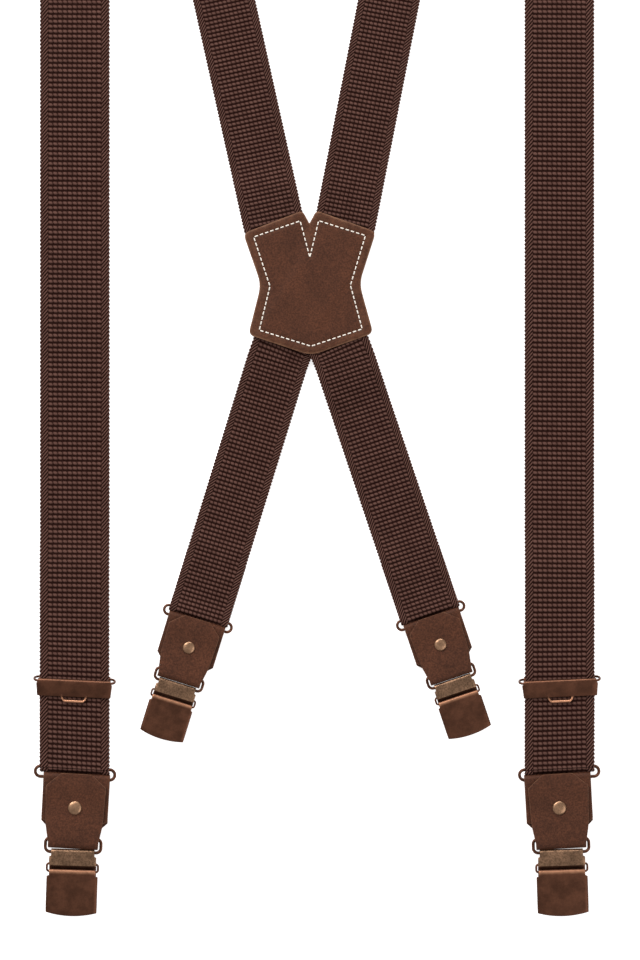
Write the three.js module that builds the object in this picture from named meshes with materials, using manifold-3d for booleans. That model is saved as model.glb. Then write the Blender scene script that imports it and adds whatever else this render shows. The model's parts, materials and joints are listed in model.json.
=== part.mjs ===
// A pair of X-back suspenders lying on a table, outer faces up, in millimetres.
// +X is to the right, +Y runs from the front clips to the shoulders, +Z is up.
// Two elastic straps come up from the front clips, turn over twice at the shoulder, cross under a
// leather patch and end at the back clips. Every swinging piece sits in a group placed on its pivot.
import * as THREE from "three";
import { mergeVertices } from "three/addons/utils/BufferGeometryUtils.js";
import Module from "manifold-3d";

const wasm = await Module();
wasm.setup();

// ---- Driving dimensions ----
const CLEAR = 0.15; // running clearance of a bar in a roll or a fold
const GAP = 0.3; // gap between pieces that only lie on each other
const LAYER_GAP = 0.2; // gap between the adjuster's layers of webbing and plate
const BACK_PLATE_GAP = 0.25; // gap between the adjuster's back plate and the webbing over it
const FOLD_PLAY = 0.7; // between a fold's edge and the start of its ring's corner
const ROLL_PLAY = 0.2; // the same for the adjuster's rolls
const NECK_PLAY = 0.6; // between the tab's neck and the inside of the clip ring
const RING_PLAY = 1.5; // between the webbing's edge and the inside of a strap ring
const ADJUSTER_PLAY = 1.9; // between the webbing's edge and the inside of the adjuster's ring
const EAR_PLAY = 1.25; // between a jaw's ear and the inside of the bail
const LOOP_LIFT = 0.45; // how far a strap's loop hangs above the table

const WEBBING = { width: 35.2, thickness: 1.4 }; // the front straps
const BACK_SIZE = 0.88; // back webbing and back hardware against the front's

// Plan of the straps on the table, before the whole is centred.
const FRONT = { midX: -1.45, spread: 121.2, loopY: -143.9, seamY: 286, cornerY: 335 };
const BACK = {
  x: -4.9,
  y: 98,
  turn: 0.7, // degrees, of the whole back about the patch
  topY: 31, // where the upper straps go under the patch
  topX: 18.05,
  topLean: 11.8, // degrees from +Y
  legY: -39, // where the legs have left the patch
  legX: 17,
  legLean: 17.9,
  loopY: -164.4, // bar that the leg's loop goes round
};
// Degrees that the parts of each front clip lean outwards, and how far they slide on their bars
const FRONT_CLIP = { turn: 3.2, lowerTurn: 1.8, ringX: 0.35, tabX: 1 };
const SQUARE_CLIP = { turn: 0, lowerTurn: 0, ringX: 0, tabX: 0 };
const ADJUSTER_TURN = 2.6;
const RAISED_END = 55; // how far above the adjuster the webbing stays raised

const STRAP_RING = { pitch: 5.2, wire: 1.6, corner: 2.6 };
STRAP_RING.width = WEBBING.width + 2 * (RING_PLAY + STRAP_RING.wire);
STRAP_RING.height = LOOP_LIFT + WEBBING.thickness + CLEAR + STRAP_RING.wire / 2;
const CLIP_RING = { width: 29.4, pitch: 6.9, wire: 1.6, corner: 2.4, rise: 0.4 };
const BAIL = { width: 26.7, pitch: 3.9, wire: 1.1, corner: 1.2, drop: 5.8, rise: 0.2 };
const ADJUSTER_RING = { wire: 1.2, corner: 2.2, backY: 1.9 };
ADJUSTER_RING.width = WEBBING.width + 2 * (ADJUSTER_PLAY + ADJUSTER_RING.wire);

// Half of the straight part of a ring's bar, and half of the space inside the ring.
const straightHalf = ({ width, wire, corner }) => width / 2 - wire / 2 - corner;
const insideHalf = ({ width, wire }) => width / 2 - wire;

const TAB = {
  thickness: 1.5,
  length: 30.05, // bar to bar
  slack: 1.9, // how far the lower fold hangs below its bar
  foldHalfGap: 1.3, // lower fold, half of the space inside
  flapTop: 2.4,
  flapEndHalf: 7.8,
  flapChamfer: 6.3,
  flapHalf: 15,
  waistHalf: 14, // where the back layer ends
  neckHalf: insideHalf(CLIP_RING) - NECK_PLAY,
  wideHalf: straightHalf(STRAP_RING) - FOLD_PLAY,
  wideEnd: 21.8,
  wideChamfer: 2,
  rivetY: 14.6,
};
const RIVET = { headRadius: 3.4, dome: 1.1, shankRadius: 1.5, washerRadius: 3.2, washer: 0.6 };
const JAW = {
  sheet: 0.7,
  rollHalf: straightHalf(CLIP_RING) - FOLD_PLAY,
  half: 11.8,
  hem: 6.65,
  length: 30.9,
  floor: -2.85, // middle of the rear plate below the pivot
  earRadius: 1.3,
  endRadius: 4,
};
JAW.earInside = insideHalf(BAIL) - EAR_PLAY;
const PAD = { half: 10.6, top: 20.5, bottom: 29.6, thickness: 1.05, ridges: 4, ridge: 0.3, pitch: 1.1 };
const LEVER = {
  sheet: 0.6,
  rollHalf: straightHalf(BAIL),
  half: 12.75,
  shoulder: 2.4,
  cornerY: 20.4,
  length: 22.15,
  flange: 1.5,
  flangeTop: 4,
};
const ADJUSTER = {
  above: 43, // from the clip's loop up the strap
  sheet: 0.6,
  backSheet: 0.7,
  half: WEBBING.width / 2 + 0.4, // wider than the webbing by this at each side
  backLength: 8,
  frontLeg: 6,
  rollHalf: straightHalf(ADJUSTER_RING) - ROLL_PLAY,
  leverHalf: WEBBING.width / 2 + 1.15,
  leverEndHalf: WEBBING.width / 2 + 0.6,
  leverLength: 7.35,
  leverEndZ: -0.7,
  pullWidth: 13.7,
  pullReach: 10.3,
  pullWire: 1,
};
// Webbing folded back behind itself: where it ends below the adjuster, or above the back loop
const RETURN = { belowAdjuster: 1.5, back: 30 };
const LOOP_LENGTH = 9; // from a loop's bar to where its two layers run level

// Middle heights of the layers between loop and adjuster, each lying on the one below it
const backPlateTop = ADJUSTER.backSheet / 2 + ADJUSTER.sheet / 2;
const LAYER = { back: backPlateTop + BACK_PLATE_GAP + WEBBING.thickness / 2 };
ADJUSTER.legZ = LAYER.back + WEBBING.thickness / 2 + LAYER_GAP + ADJUSTER.sheet / 2;
LAYER.front = ADJUSTER.legZ + ADJUSTER.sheet / 2 + LAYER_GAP + WEBBING.thickness / 2;
ADJUSTER_RING.backZ = LAYER.back;
const leverRoll = ADJUSTER_RING.wire / 2 + CLEAR + ADJUSTER.sheet; // outside of the lever's roll
ADJUSTER_RING.frontZ = LAYER.front + WEBBING.thickness / 2 + LAYER_GAP + leverRoll;

// Leather patch over the crossing: half outline from the notch round to the lower tip.
const PATCH = {
  thickness: 1.2,
  outline: [
    [0, 30.4, 0.8],
    [3.4, 36.6, 2],
    [33.2, 25.6, 3],
    [24.6, 0, 3],
    [31.2, -24.8, 3],
    [0, -34.9, 3],
  ],
  seam: [
    [0, 13.1],
    [4.6, 31.4],
    [27.9, 23.7],
    [20.1, -1],
    [25.7, -22.9],
    [0, -31.2],
  ],
  thread: 0.6,
};

// ---- Materials ----
const material = (color, roughness, metalness) =>
  new THREE.MeshStandardMaterial({ color, roughness, metalness });
const webbingCloth = material(0x3f2a24, 0.9, 0);
const leather = material(0x56382a, 0.7, 0);
const thread = material(0xe8ddc8, 0.8, 0);
const bronze = material(0x6a4632, 0.45, 0.9);
const brass = material(0xa98a5c, 0.4, 0.9);
const padRubber = material(0x1d1a18, 0.8, 0);

// ---- Helpers ----
const radians = THREE.MathUtils.degToRad;
const backWidth = WEBBING.width * BACK_SIZE;
const backThickness = WEBBING.thickness * BACK_SIZE;

function manifoldOf(geometry) {
  const bare = geometry.index ? geometry.toNonIndexed() : geometry.clone();
  const clean = new THREE.BufferGeometry().setAttribute("position", bare.getAttribute("position"));
  const merged = mergeVertices(clean, 1e-4);
  const mesh = new wasm.Mesh({
    numProp: 3,
    vertProperties: merged.attributes.position.array,
    triVerts: new Uint32Array(merged.index.array),
  });
  return new wasm.Manifold(mesh);
}

function geometryOf(solid) {
  const mesh = solid.getMesh();
  const geometry = new THREE.BufferGeometry();
  geometry.setAttribute("position", new THREE.BufferAttribute(mesh.vertProperties, mesh.numProp));
  geometry.setIndex(new THREE.BufferAttribute(mesh.triVerts, 1));
  return geometry;
}

function named(name, geometry, finish) {
  const mesh = new THREE.Mesh(geometry, finish);
  mesh.name = name;
  return mesh;
}

function groupAt(parent, name, x, y, z, turn = 0) {
  const group = new THREE.Group();
  group.name = name;
  group.position.set(x, y, z);
  group.rotation.z = radians(turn);
  parent.add(group);
  return group;
}

// A long box bent into shape: each station gives the place of the piece's middle, the way across
// it and its normal, so the box's rows go from station to station.
function strip(stations, thickness) {
  const rows = stations.length - 1;
  const box = new THREE.BoxGeometry(2, rows, 2, 1, rows, 1);
  const position = box.getAttribute("position");
  for (let i = 0; i < position.count; i++) {
    const station = stations[Math.round(position.getY(i) + rows / 2)];
    const depth = station.thickness ?? thickness;
    const point = station.middle
      .clone()
      .addScaledVector(station.across, position.getX(i) * station.half)
      .addScaledVector(station.normal, (position.getZ(i) * depth) / 2);
    position.setXYZ(i, point.x, point.y, point.z);
  }
  return box;
}

// A sheet that bends only about X: a line of [y, z] points with a half width at each.
function bentSheet(points, thickness) {
  const across = new THREE.Vector3(1, 0, 0);
  const stations = points.map(([y, z, half], i) => {
    const before = points[Math.max(i - 1, 0)];
    const after = points[Math.min(i + 1, points.length - 1)];
    const into = new THREE.Vector2(y - before[0], z - before[1]).normalize();
    const out = new THREE.Vector2(after[0] - y, after[1] - z).normalize();
    const along = into.clone().add(out).normalize();
    const mitre = i > 0 && i < points.length - 1 ? 1 / Math.max(along.dot(out), 0.5) : 1;
    return {
      middle: new THREE.Vector3(0, y, z),
      across,
      normal: new THREE.Vector3(0, -along.y * mitre, along.x * mitre),
      half,
    };
  });
  return strip(stations, thickness);
}

// Points of an arc in the Y-Z plane, from one angle to another in degrees, 0 towards +Y.
function arc(y, z, radius, from, to, steps, half) {
  return Array.from({ length: steps + 1 }, (_, i) => {
    const angle = radians(from + ((to - from) * i) / steps);
    return [y + radius * Math.cos(angle), z + radius * Math.sin(angle), half];
  });
}

// A closed ring of wire with rounded corners: a torus whose quarters are moved apart.
function wireRing({ width, wire, corner }, pitch) {
  const ring = new THREE.TorusGeometry(corner, wire / 2, 8, 16);
  ring.rotateZ(Math.PI / 16);
  const position = ring.getAttribute("position");
  const shiftX = width / 2 - wire / 2 - corner;
  const shiftY = pitch / 2 - corner;
  for (let i = 0; i < position.count; i++) {
    position.setX(i, position.getX(i) + Math.sign(position.getX(i)) * shiftX);
    position.setY(i, position.getY(i) + Math.sign(position.getY(i)) * shiftY);
  }
  return ring;
}

// A rod along X.
const rod = (radius, length, x, y, z, sides = 16) =>
  new THREE.CylinderGeometry(radius, radius, length, sides).rotateZ(Math.PI / 2).translate(x, y, z);

// ---- Clip end: strap ring, leather tab, clip ring, jaw, bail and lever ----
function tabGeometry() {
  const { thickness, length, slack, foldHalfGap, flapHalf, waistHalf, neckHalf } = TAB;
  const { wideHalf, wideEnd } = TAB;
  const upperFold = STRAP_RING.wire / 2 + CLEAR + thickness / 2;
  const lowerFold = foldHalfGap + thickness / 2;
  const step = thickness + CLEAR; // layer to layer
  const middleZ = step / 3;
  const foldY = -length - slack;
  const foldZ = CLIP_RING.rise;
  const points = [
    [TAB.flapTop, upperFold + step, TAB.flapEndHalf],
    [TAB.flapTop - TAB.flapChamfer, upperFold + step - 0.1, flapHalf],
    [-TAB.rivetY + 4, middleZ + step, flapHalf - 0.25],
    [-TAB.rivetY - 4, middleZ + step, flapHalf - 0.5],
    [-length + 4, foldZ + lowerFold, waistHalf - 0.3],
    ...arc(foldY, foldZ, lowerFold, 90, 270, 8, neckHalf),
    [-length + 4, foldZ - lowerFold, neckHalf],
    [-wideEnd - 2.5, middleZ - step, waistHalf - 0.1],
    [-wideEnd, middleZ - step, wideHalf],
    [-TAB.rivetY + 4, middleZ - step, wideHalf],
    ...arc(0, 0, upperFold, 270, 450, 8, wideHalf),
    [-TAB.rivetY + 6, middleZ, wideHalf],
    [-wideEnd + TAB.wideChamfer, middleZ, wideHalf],
    [-wideEnd, middleZ, wideHalf - TAB.wideChamfer],
  ];
  const hole = new THREE.CylinderGeometry(
    RIVET.shankRadius + GAP,
    RIVET.shankRadius + GAP,
    20,
    16,
  );
  hole.rotateX(Math.PI / 2).translate(0, -TAB.rivetY, 0);
  return geometryOf(manifoldOf(bentSheet(points, thickness)).subtract(manifoldOf(hole)));
}

function rivetGeometry() {
  const step = TAB.thickness + CLEAR;
  const middleZ = step / 3;
  const top = middleZ + step + TAB.thickness / 2 + CLEAR;
  const bottom = middleZ - step - TAB.thickness / 2 - CLEAR;
  const { headRadius, dome, shankRadius, washerRadius, washer } = RIVET;
  const profile = [
    new THREE.Vector2(0, bottom - washer),
    new THREE.Vector2(washerRadius, bottom - washer),
    new THREE.Vector2(washerRadius, bottom),
    new THREE.Vector2(shankRadius, bottom),
    new THREE.Vector2(shankRadius, top),
    new THREE.Vector2(headRadius, top),
    new THREE.Vector2(headRadius, top + dome * 0.3),
    new THREE.Vector2(headRadius * 0.8, top + dome * 0.75),
    new THREE.Vector2(headRadius * 0.45, top + dome * 0.95),
    new THREE.Vector2(0, top + dome),
  ];
  return new THREE.LatheGeometry(profile, 20).rotateX(Math.PI / 2).translate(0, -TAB.rivetY, 0);
}

function jawGeometry() {
  const { sheet, rollHalf, half, hem, length, floor } = JAW;
  const roll = CLIP_RING.wire / 2 + CLEAR + sheet / 2;
  const points = [
    [-hem, roll, half],
    [-2.4, roll, half],
    [-1.8, roll, rollHalf],
    ...arc(0, 0, roll, 90, -90, 8, rollHalf),
    [-2, -roll - 0.1, rollHalf],
    [-5.5, floor, half],
    [-length + JAW.endRadius, floor, half],
    [-length + 1, floor, half - 1.2],
    [-length, floor, half - JAW.endRadius],
  ];
  let jaw = manifoldOf(bentSheet(points, sheet));
  for (const side of [-1, 1]) {
    const x = side * (JAW.earInside + sheet / 2);
    const wall = new THREE.BoxGeometry(sheet, 2 * JAW.earRadius, BAIL.rise - floor);
    wall.translate(x, -BAIL.drop, (BAIL.rise + floor) / 2);
    const eye = rod(JAW.earRadius, sheet, x, -BAIL.drop, BAIL.rise);
    const hole = rod(BAIL.wire / 2 + CLEAR, 4, x, -BAIL.drop, BAIL.rise);
    jaw = jaw.add(manifoldOf(wall)).add(manifoldOf(eye)).subtract(manifoldOf(hole));
  }
  return geometryOf(jaw);
}

function padGeometry() {
  const base = JAW.floor + JAW.sheet / 2 + 0.02;
  const shape = new THREE.Shape();
  const top = base + PAD.thickness;
  shape.moveTo(-PAD.top, base);
  shape.lineTo(-PAD.bottom, base);
  shape.lineTo(-PAD.bottom, top);
  for (let i = 0; i < PAD.ridges; i++) {
    const foot = -PAD.bottom + 0.4 + i * PAD.pitch;
    shape.lineTo(foot, top);
    shape.lineTo(foot + PAD.ridge, top - PAD.ridge);
    shape.lineTo(foot + 2 * PAD.ridge, top);
  }
  shape.lineTo(-PAD.top, top);
  const pad = new THREE.ExtrudeGeometry(shape, { depth: 2 * PAD.half, bevelEnabled: false });
  // The profile is drawn with Y along the strap and Z up, and pulled out across the strap.
  pad.applyMatrix4(new THREE.Matrix4().set(0, 0, 1, -PAD.half, 1, 0, 0, 0, 0, 1, 0, 0, 0, 0, 0, 1));
  return pad;
}

function leverGeometry() {
  const { sheet, rollHalf, half, shoulder, cornerY, length, flange, flangeTop } = LEVER;
  const roll = BAIL.wire / 2 + CLEAR + sheet / 2;
  const points = [
    ...arc(0, 0, roll, -100, 90, 9, rollHalf),
    [-shoulder + 0.5, roll, rollHalf],
    [-shoulder, roll, half],
    [-cornerY, roll, half],
  ];
  const sag = length - cornerY;
  for (let i = 1; i <= 6; i++) {
    const across = Math.sqrt(1 - (i / 6) ** 2) * 0.75 + (1 - i / 6) * 0.25;
    points.push([-cornerY - (sag * i) / 6, roll, Math.max(half * across, 2)]);
  }
  let lever = manifoldOf(bentSheet(points, sheet));
  for (const side of [-1, 1]) {
    const wall = new THREE.BoxGeometry(sheet, cornerY - flangeTop, flange);
    wall.translate(side * (half - sheet / 2), -(cornerY + flangeTop) / 2, roll - flange / 2);
    lever = lever.add(manifoldOf(wall));
  }
  return geometryOf(lever);
}

function clipEnd(parent, prefix, y, size, side, lean) {
  const { turn, lowerTurn, ringX, tabX } = lean;
  const height = STRAP_RING.height * size;
  const ring = groupAt(parent, `${prefix}_strap_ring_pivot`, -side * ringX, y, height, side * turn);
  ring.scale.setScalar(size);
  const strapRing = wireRing(STRAP_RING, STRAP_RING.pitch).translate(0, -STRAP_RING.pitch / 2, 0);
  ring.add(named(`${prefix}_strap_ring`, strapRing, bronze));

  const tab = groupAt(ring, `${prefix}_tab_pivot`, -side * tabX, -STRAP_RING.pitch, 0);
  tab.add(named(`${prefix}_tab`, tabGeometry(), leather));
  tab.add(named(`${prefix}_rivet`, rivetGeometry(), brass));

  const twist = side * (lowerTurn - turn);
  const link = groupAt(tab, `${prefix}_clip_ring_pivot`, 0, -TAB.length, CLIP_RING.rise, twist);
  const clipRing = wireRing(CLIP_RING, CLIP_RING.pitch).translate(0, -CLIP_RING.pitch / 2, 0);
  link.add(named(`${prefix}_clip_ring`, clipRing, bronze));

  const jaw = groupAt(link, `${prefix}_jaw_pivot`, 0, -CLIP_RING.pitch, 0);
  jaw.add(named(`${prefix}_jaw`, jawGeometry(), bronze));
  jaw.add(named(`${prefix}_jaw_pad`, padGeometry(), padRubber));

  const bail = groupAt(jaw, `${prefix}_bail_pivot`, 0, -BAIL.drop, BAIL.rise);
  const bailRing = wireRing(BAIL, BAIL.pitch).translate(0, -BAIL.pitch / 2, 0);
  bail.add(named(`${prefix}_bail`, bailRing, bronze));

  const lever = groupAt(bail, `${prefix}_lever_pivot`, 0, -BAIL.pitch, 0);
  lever.add(named(`${prefix}_lever`, leverGeometry(), bronze));
  return ring;
}

// ---- Adjuster on a front strap ----
function adjusterBackGeometry() {
  const { sheet, backSheet, half, backLength, frontLeg, legZ } = ADJUSTER;
  const { wire, backY, backZ } = ADJUSTER_RING;
  const roll = wire / 2 + CLEAR + sheet / 2;
  const points = [
    [-backLength, backSheet / 2, half],
    [backY - 1.4, backSheet / 2, half],
    ...arc(backY, backZ, roll, -90, 90, 8, ADJUSTER.rollHalf),
    [backY - 2, legZ, half],
    [-frontLeg, legZ, half],
  ];
  return bentSheet(points, sheet);
}

function adjusterRingGeometry() {
  const { backY, backZ, frontZ } = ADJUSTER_RING;
  const pitch = Math.hypot(backY, frontZ - backZ);
  const ring = wireRing(ADJUSTER_RING, pitch);
  ring.rotateX(-Math.atan2(frontZ - backZ, backY));
  return ring.translate(0, backY / 2, (frontZ + backZ) / 2);
}

function adjusterLeverGeometry() {
  const { sheet, rollHalf, leverHalf, leverEndHalf, leverLength, leverEndZ } = ADJUSTER;
  const roll = ADJUSTER_RING.wire / 2 + CLEAR + sheet / 2;
  const points = [
    ...arc(0, 0, roll, -110, 90, 9, rollHalf),
    [-1.3, roll - 0.15, rollHalf],
    [-1.8, roll - 0.25, leverHalf],
    [-leverLength, leverEndZ, leverEndHalf],
  ];
  const plate = manifoldOf(bentSheet(points, sheet));
  const { pullWidth, pullReach, pullWire } = ADJUSTER;
  const reach = pullReach - leverLength;
  const pull = new THREE.TorusGeometry(reach * 0.6, pullWire / 2, 8, 16);
  pull.rotateZ(Math.PI / 16);
  const position = pull.getAttribute("position");
  for (let i = 0; i < position.count; i++) {
    const away = pullWidth / 2 - pullWire / 2 - reach * 0.6;
    position.setX(i, position.getX(i) + Math.sign(position.getX(i)) * away);
  }
  pull.translate(0, -leverLength - reach + reach * 0.6 + pullWire / 2, leverEndZ);
  return geometryOf(plate.add(manifoldOf(pull)));
}

// ---- Webbing ----
const up = new THREE.Vector3(0, 0, 1);
const inPlan = (degrees) =>
  new THREE.Vector3(Math.sin(radians(degrees)), Math.cos(radians(degrees)), 0);

// A station of webbing lying flat, running along a direction.
function flatStation(point, direction, half, thickness) {
  const across = new THREE.Vector3().crossVectors(direction, up).normalize();
  return { middle: point.clone(), across, normal: up.clone(), half, thickness };
}

// Webbing turned over about a slanting line, so it leaves in a new direction one layer higher.
function mitreFold(corner, direction, leaving, faceUp, half, thickness) {
  const line = direction.clone().add(leaving).normalize();
  const past = direction.clone().addScaledVector(line, -direction.dot(line)).normalize();
  const slant = direction.dot(line) / direction.dot(past);
  const radius = (thickness + GAP) / 2;
  const right = new THREE.Vector3().crossVectors(direction, up).multiplyScalar(faceUp);
  const across = line.clone().multiplyScalar(Math.sign(line.dot(right)));
  return Array.from({ length: 9 }, (_, i) => {
    const bend = (Math.PI * i) / 8;
    const middle = corner
      .clone()
      .addScaledVector(line, slant * radius * bend)
      .addScaledVector(past, radius * Math.sin(bend))
      .addScaledVector(up, radius * (1 - Math.cos(bend)));
    const normal = up
      .clone()
      .multiplyScalar(faceUp * Math.cos(bend))
      .addScaledVector(past, -faceUp * Math.sin(bend));
    return { middle, across, normal, half: half / Math.abs(direction.dot(past)), thickness };
  });
}

// Webbing lying straight in its own group: [y, z] of its middle from one end to the other.
const straightWebbing = (points, half, thickness) =>
  bentSheet(
    points.map(([y, z]) => [y, z, half]),
    thickness,
  );

// Turns the looped end of a strap to lie square on a ring that leans.
function leanLoop(geometry, barY, degrees) {
  const position = geometry.getAttribute("position");
  for (let i = 0; i < position.count; i++) {
    const y = position.getY(i);
    if (y < barY + LOOP_LENGTH + 1) {
      position.setY(i, y + position.getX(i) * Math.tan(radians(degrees)));
    }
  }
  return geometry;
}

// ---- Front straps ----
function frontStrap(parent, side) {
  const name = side < 0 ? "left_front" : "right_front";
  const x = FRONT.midX + side * FRONT.spread;
  const half = WEBBING.width / 2;
  const { thickness } = WEBBING;
  const barZ = STRAP_RING.height;
  const turn = STRAP_RING.wire / 2 + CLEAR + thickness / 2;
  const flat = thickness / 2;
  const strap = groupAt(parent, `${name}_strap`, x, 0, 0);

  const adjusterY = FRONT.loopY + ADJUSTER.above;
  const raisedTo = adjusterY + RAISED_END;
  const front = [
    [FRONT.loopY + GAP, barZ + turn],
    [FRONT.loopY + LOOP_LENGTH, LAYER.front],
    [raisedTo, LAYER.front],
    [raisedTo + 22, flat],
    [FRONT.seamY - GAP / 2, flat],
  ];
  const lean = (points) =>
    leanLoop(straightWebbing(points, half, thickness), FRONT.loopY, side * FRONT_CLIP.turn);
  strap.add(named(`${name}_webbing`, lean(front), webbingCloth));

  const returned = [
    [adjusterY - RETURN.belowAdjuster, LAYER.back],
    [FRONT.loopY + LOOP_LENGTH, LAYER.back],
    ...arc(FRONT.loopY, barZ, turn, 270, 90, 10, half),
  ];
  strap.add(named(`${name}_return_webbing`, lean(returned), webbingCloth));

  const adjuster = groupAt(strap, `${name}_adjuster`, 0, adjusterY, 0, side * ADJUSTER_TURN);
  adjuster.add(named(`${name}_adjuster_back`, adjusterBackGeometry(), bronze));
  adjuster.add(named(`${name}_adjuster_ring`, adjusterRingGeometry(), bronze));
  const { frontZ } = ADJUSTER_RING;
  const lever = groupAt(adjuster, `${name}_adjuster_lever_pivot`, 0, 0, frontZ);
  lever.add(named(`${name}_adjuster_lever`, adjusterLeverGeometry(), bronze));

  clipEnd(strap, name, FRONT.loopY, 1, side, FRONT_CLIP);
}

// ---- Back: upper straps, crossing, legs and patch ----
const back = new THREE.Matrix4()
  .makeRotationZ(radians(BACK.turn))
  .setPosition(BACK.x, BACK.y, 0);
const legLevel = (side) =>
  PATCH.thickness + GAP + backThickness / 2 + (side > 0 ? backThickness + GAP : 0);

function backWebbing(side) {
  const half = backWidth / 2;
  const flat = WEBBING.thickness / 2;
  const x = FRONT.midX + side * FRONT.spread;
  const upDirection = new THREE.Vector3(0, 1, 0);
  const inward = new THREE.Vector3(-side, 0, 0);
  const wide = WEBBING.width / 2;
  const corner = new THREE.Vector3(x, FRONT.cornerY, flat);
  const first = mitreFold(corner, upDirection, inward, 1, wide, WEBBING.thickness);

  const down = inPlan(180 + side * BACK.topLean).transformDirection(back);
  const outOf = (point) => new THREE.Vector3(...point, 0).applyMatrix4(back);
  const top = outOf([side * BACK.topX, BACK.topY]);
  const across = first.at(-1).middle;
  const run = (across.y - top.y) / down.y;
  const second = top.clone().addScaledVector(down, run).setZ(across.z);
  const over = mitreFold(second, inward, down, -1, half, WEBBING.thickness);

  // The webbing narrows and thins while it goes across.
  const entry = new THREE.Vector3(across.x - side * (wide + 2), across.y, across.z);
  const exit = second.clone().addScaledVector(inward, -half - 2);
  const flipped = (point, width) => {
    const station = flatStation(point, inward, width);
    station.across.negate();
    station.normal.negate();
    return station;
  };

  const level = legLevel(-side);
  const low = backThickness / 2;
  const leaving = over.at(-1).middle;
  const downAt = (distance, z) => leaving.clone().addScaledVector(down, distance).setZ(z);
  const reach = leaving.clone().setZ(0).distanceTo(top);
  const leg = inPlan(180 + side * BACK.legLean).transformDirection(back);
  const legTop = outOf([-side * BACK.legX, BACK.legY]);
  const pull = top.distanceTo(legTop) / 3;
  const crossing = new THREE.CubicBezierCurve3(
    top,
    top.clone().addScaledVector(down, pull),
    legTop.clone().addScaledVector(leg, -pull),
    legTop.clone().addScaledVector(leg, -GAP / 2),
  );
  const under = Array.from({ length: 9 }, (_, i) => {
    const point = crossing.getPoint(i / 8).setZ(level);
    return flatStation(point, crossing.getTangent(i / 8), half, backThickness);
  });

  const stations = [
    flatStation(new THREE.Vector3(x, FRONT.seamY + GAP / 2, flat), upDirection, wide),
    flatStation(new THREE.Vector3(x, FRONT.cornerY - wide - 2, flat), upDirection, wide),
    ...first,
    flipped(entry, wide),
    flipped(exit, half),
    ...over,
    flatStation(downAt(half + 3, leaving.z), down, half),
    flatStation(downAt(2 * half + 12, leaving.z), down, half, backThickness),
    flatStation(downAt(2 * half + 40, low), down, half, backThickness),
    flatStation(downAt(reach - 32, low), down, half, backThickness),
    flatStation(downAt(reach - 15, level), down, half, backThickness),
    ...under,
  ];
  return strip(stations, WEBBING.thickness);
}

function backLeg(parent, side) {
  const name = side < 0 ? "left_back" : "right_back";
  const half = backWidth / 2;
  const length = (BACK.legY - BACK.loopY) / Math.cos(radians(BACK.legLean));
  const x = side * (BACK.legX + length * Math.sin(radians(BACK.legLean)));
  const barZ = STRAP_RING.height * BACK_SIZE;
  const turn = (STRAP_RING.wire / 2) * BACK_SIZE + CLEAR + backThickness / 2;
  const doubled = 1.5 * backThickness + GAP;
  const leg = groupAt(parent, `${name}_leg`, x, BACK.loopY, 0, side * BACK.legLean);
  const points = [
    [RETURN.back, backThickness / 2],
    [LOOP_LENGTH, backThickness / 2],
    ...arc(0, barZ, turn, 270, 90, 10, half),
    [LOOP_LENGTH, doubled],
    [RETURN.back + 2, doubled],
    [RETURN.back + 14, backThickness / 2],
    [length - 26, backThickness / 2],
    [length - 5, legLevel(side)],
    [length - GAP / 2, legLevel(side)],
  ];
  const webbing = straightWebbing(points, half, backThickness);
  leg.add(named(`${name}_webbing`, webbing, webbingCloth));
  clipEnd(leg, name, 0, BACK_SIZE, side, SQUARE_CLIP);
}

// A polygon with its corners rounded: [x, y, radius] all the way round.
function roundedShape(corners) {
  const shape = new THREE.Shape();
  corners.forEach(([x, y, radius], i) => {
    const point = new THREE.Vector2(x, y);
    const [bx, by] = corners[(i + corners.length - 1) % corners.length];
    const [ax, ay] = corners[(i + 1) % corners.length];
    const from = new THREE.Vector2(bx, by).sub(point).setLength(radius).add(point);
    const to = new THREE.Vector2(ax, ay).sub(point).setLength(radius).add(point);
    if (i === 0) shape.moveTo(from.x, from.y);
    else shape.lineTo(from.x, from.y);
    shape.quadraticCurveTo(x, y, to.x, to.y);
  });
  shape.closePath();
  return shape;
}

const mirrored = (half) => [
  ...half,
  ...half
    .slice(1, -1)
    .reverse()
    .map(([x, y, ...rest]) => [-x, y, ...rest]),
];

function patch(parent) {
  const options = { bevelEnabled: false, curveSegments: 4 };
  const shape = roundedShape(mirrored(PATCH.outline));
  const slab = () => new THREE.ExtrudeGeometry(shape, { ...options, depth: PATCH.thickness });
  parent.add(named("patch_inner", slab(), leather));
  const level = PATCH.thickness + 3 * GAP + 2 * backThickness;
  parent.add(named("patch_outer", slab().translate(0, 0, level), leather));

  const seam = mirrored(PATCH.seam);
  const offset = (amount) =>
    seam.map(([x, y], i) => {
      const point = new THREE.Vector2(x, y);
      const [bx, by] = seam[(i + seam.length - 1) % seam.length];
      const [ax, ay] = seam[(i + 1) % seam.length];
      const into = new THREE.Vector2(x - bx, y - by).normalize();
      const out = new THREE.Vector2(ax - x, ay - y).normalize();
      const normal = new THREE.Vector2(-into.y - out.y, into.x + out.x).normalize();
      const reach = amount / normal.dot(new THREE.Vector2(-into.y, into.x));
      return point.addScaledVector(normal, reach);
    });
  const prism = (amount, depth) =>
    new THREE.ExtrudeGeometry(new THREE.Shape(offset(amount)), { ...options, depth });
  const inside = prism(-PATCH.thread / 2, 3 * PATCH.thread).translate(0, 0, -PATCH.thread);
  const outside = prism(PATCH.thread / 2, PATCH.thread);
  const ring = geometryOf(manifoldOf(outside).subtract(manifoldOf(inside)));
  ring.translate(0, 0, level + PATCH.thickness + 0.02);
  parent.add(named("patch_thread", ring, thread));
}

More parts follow.
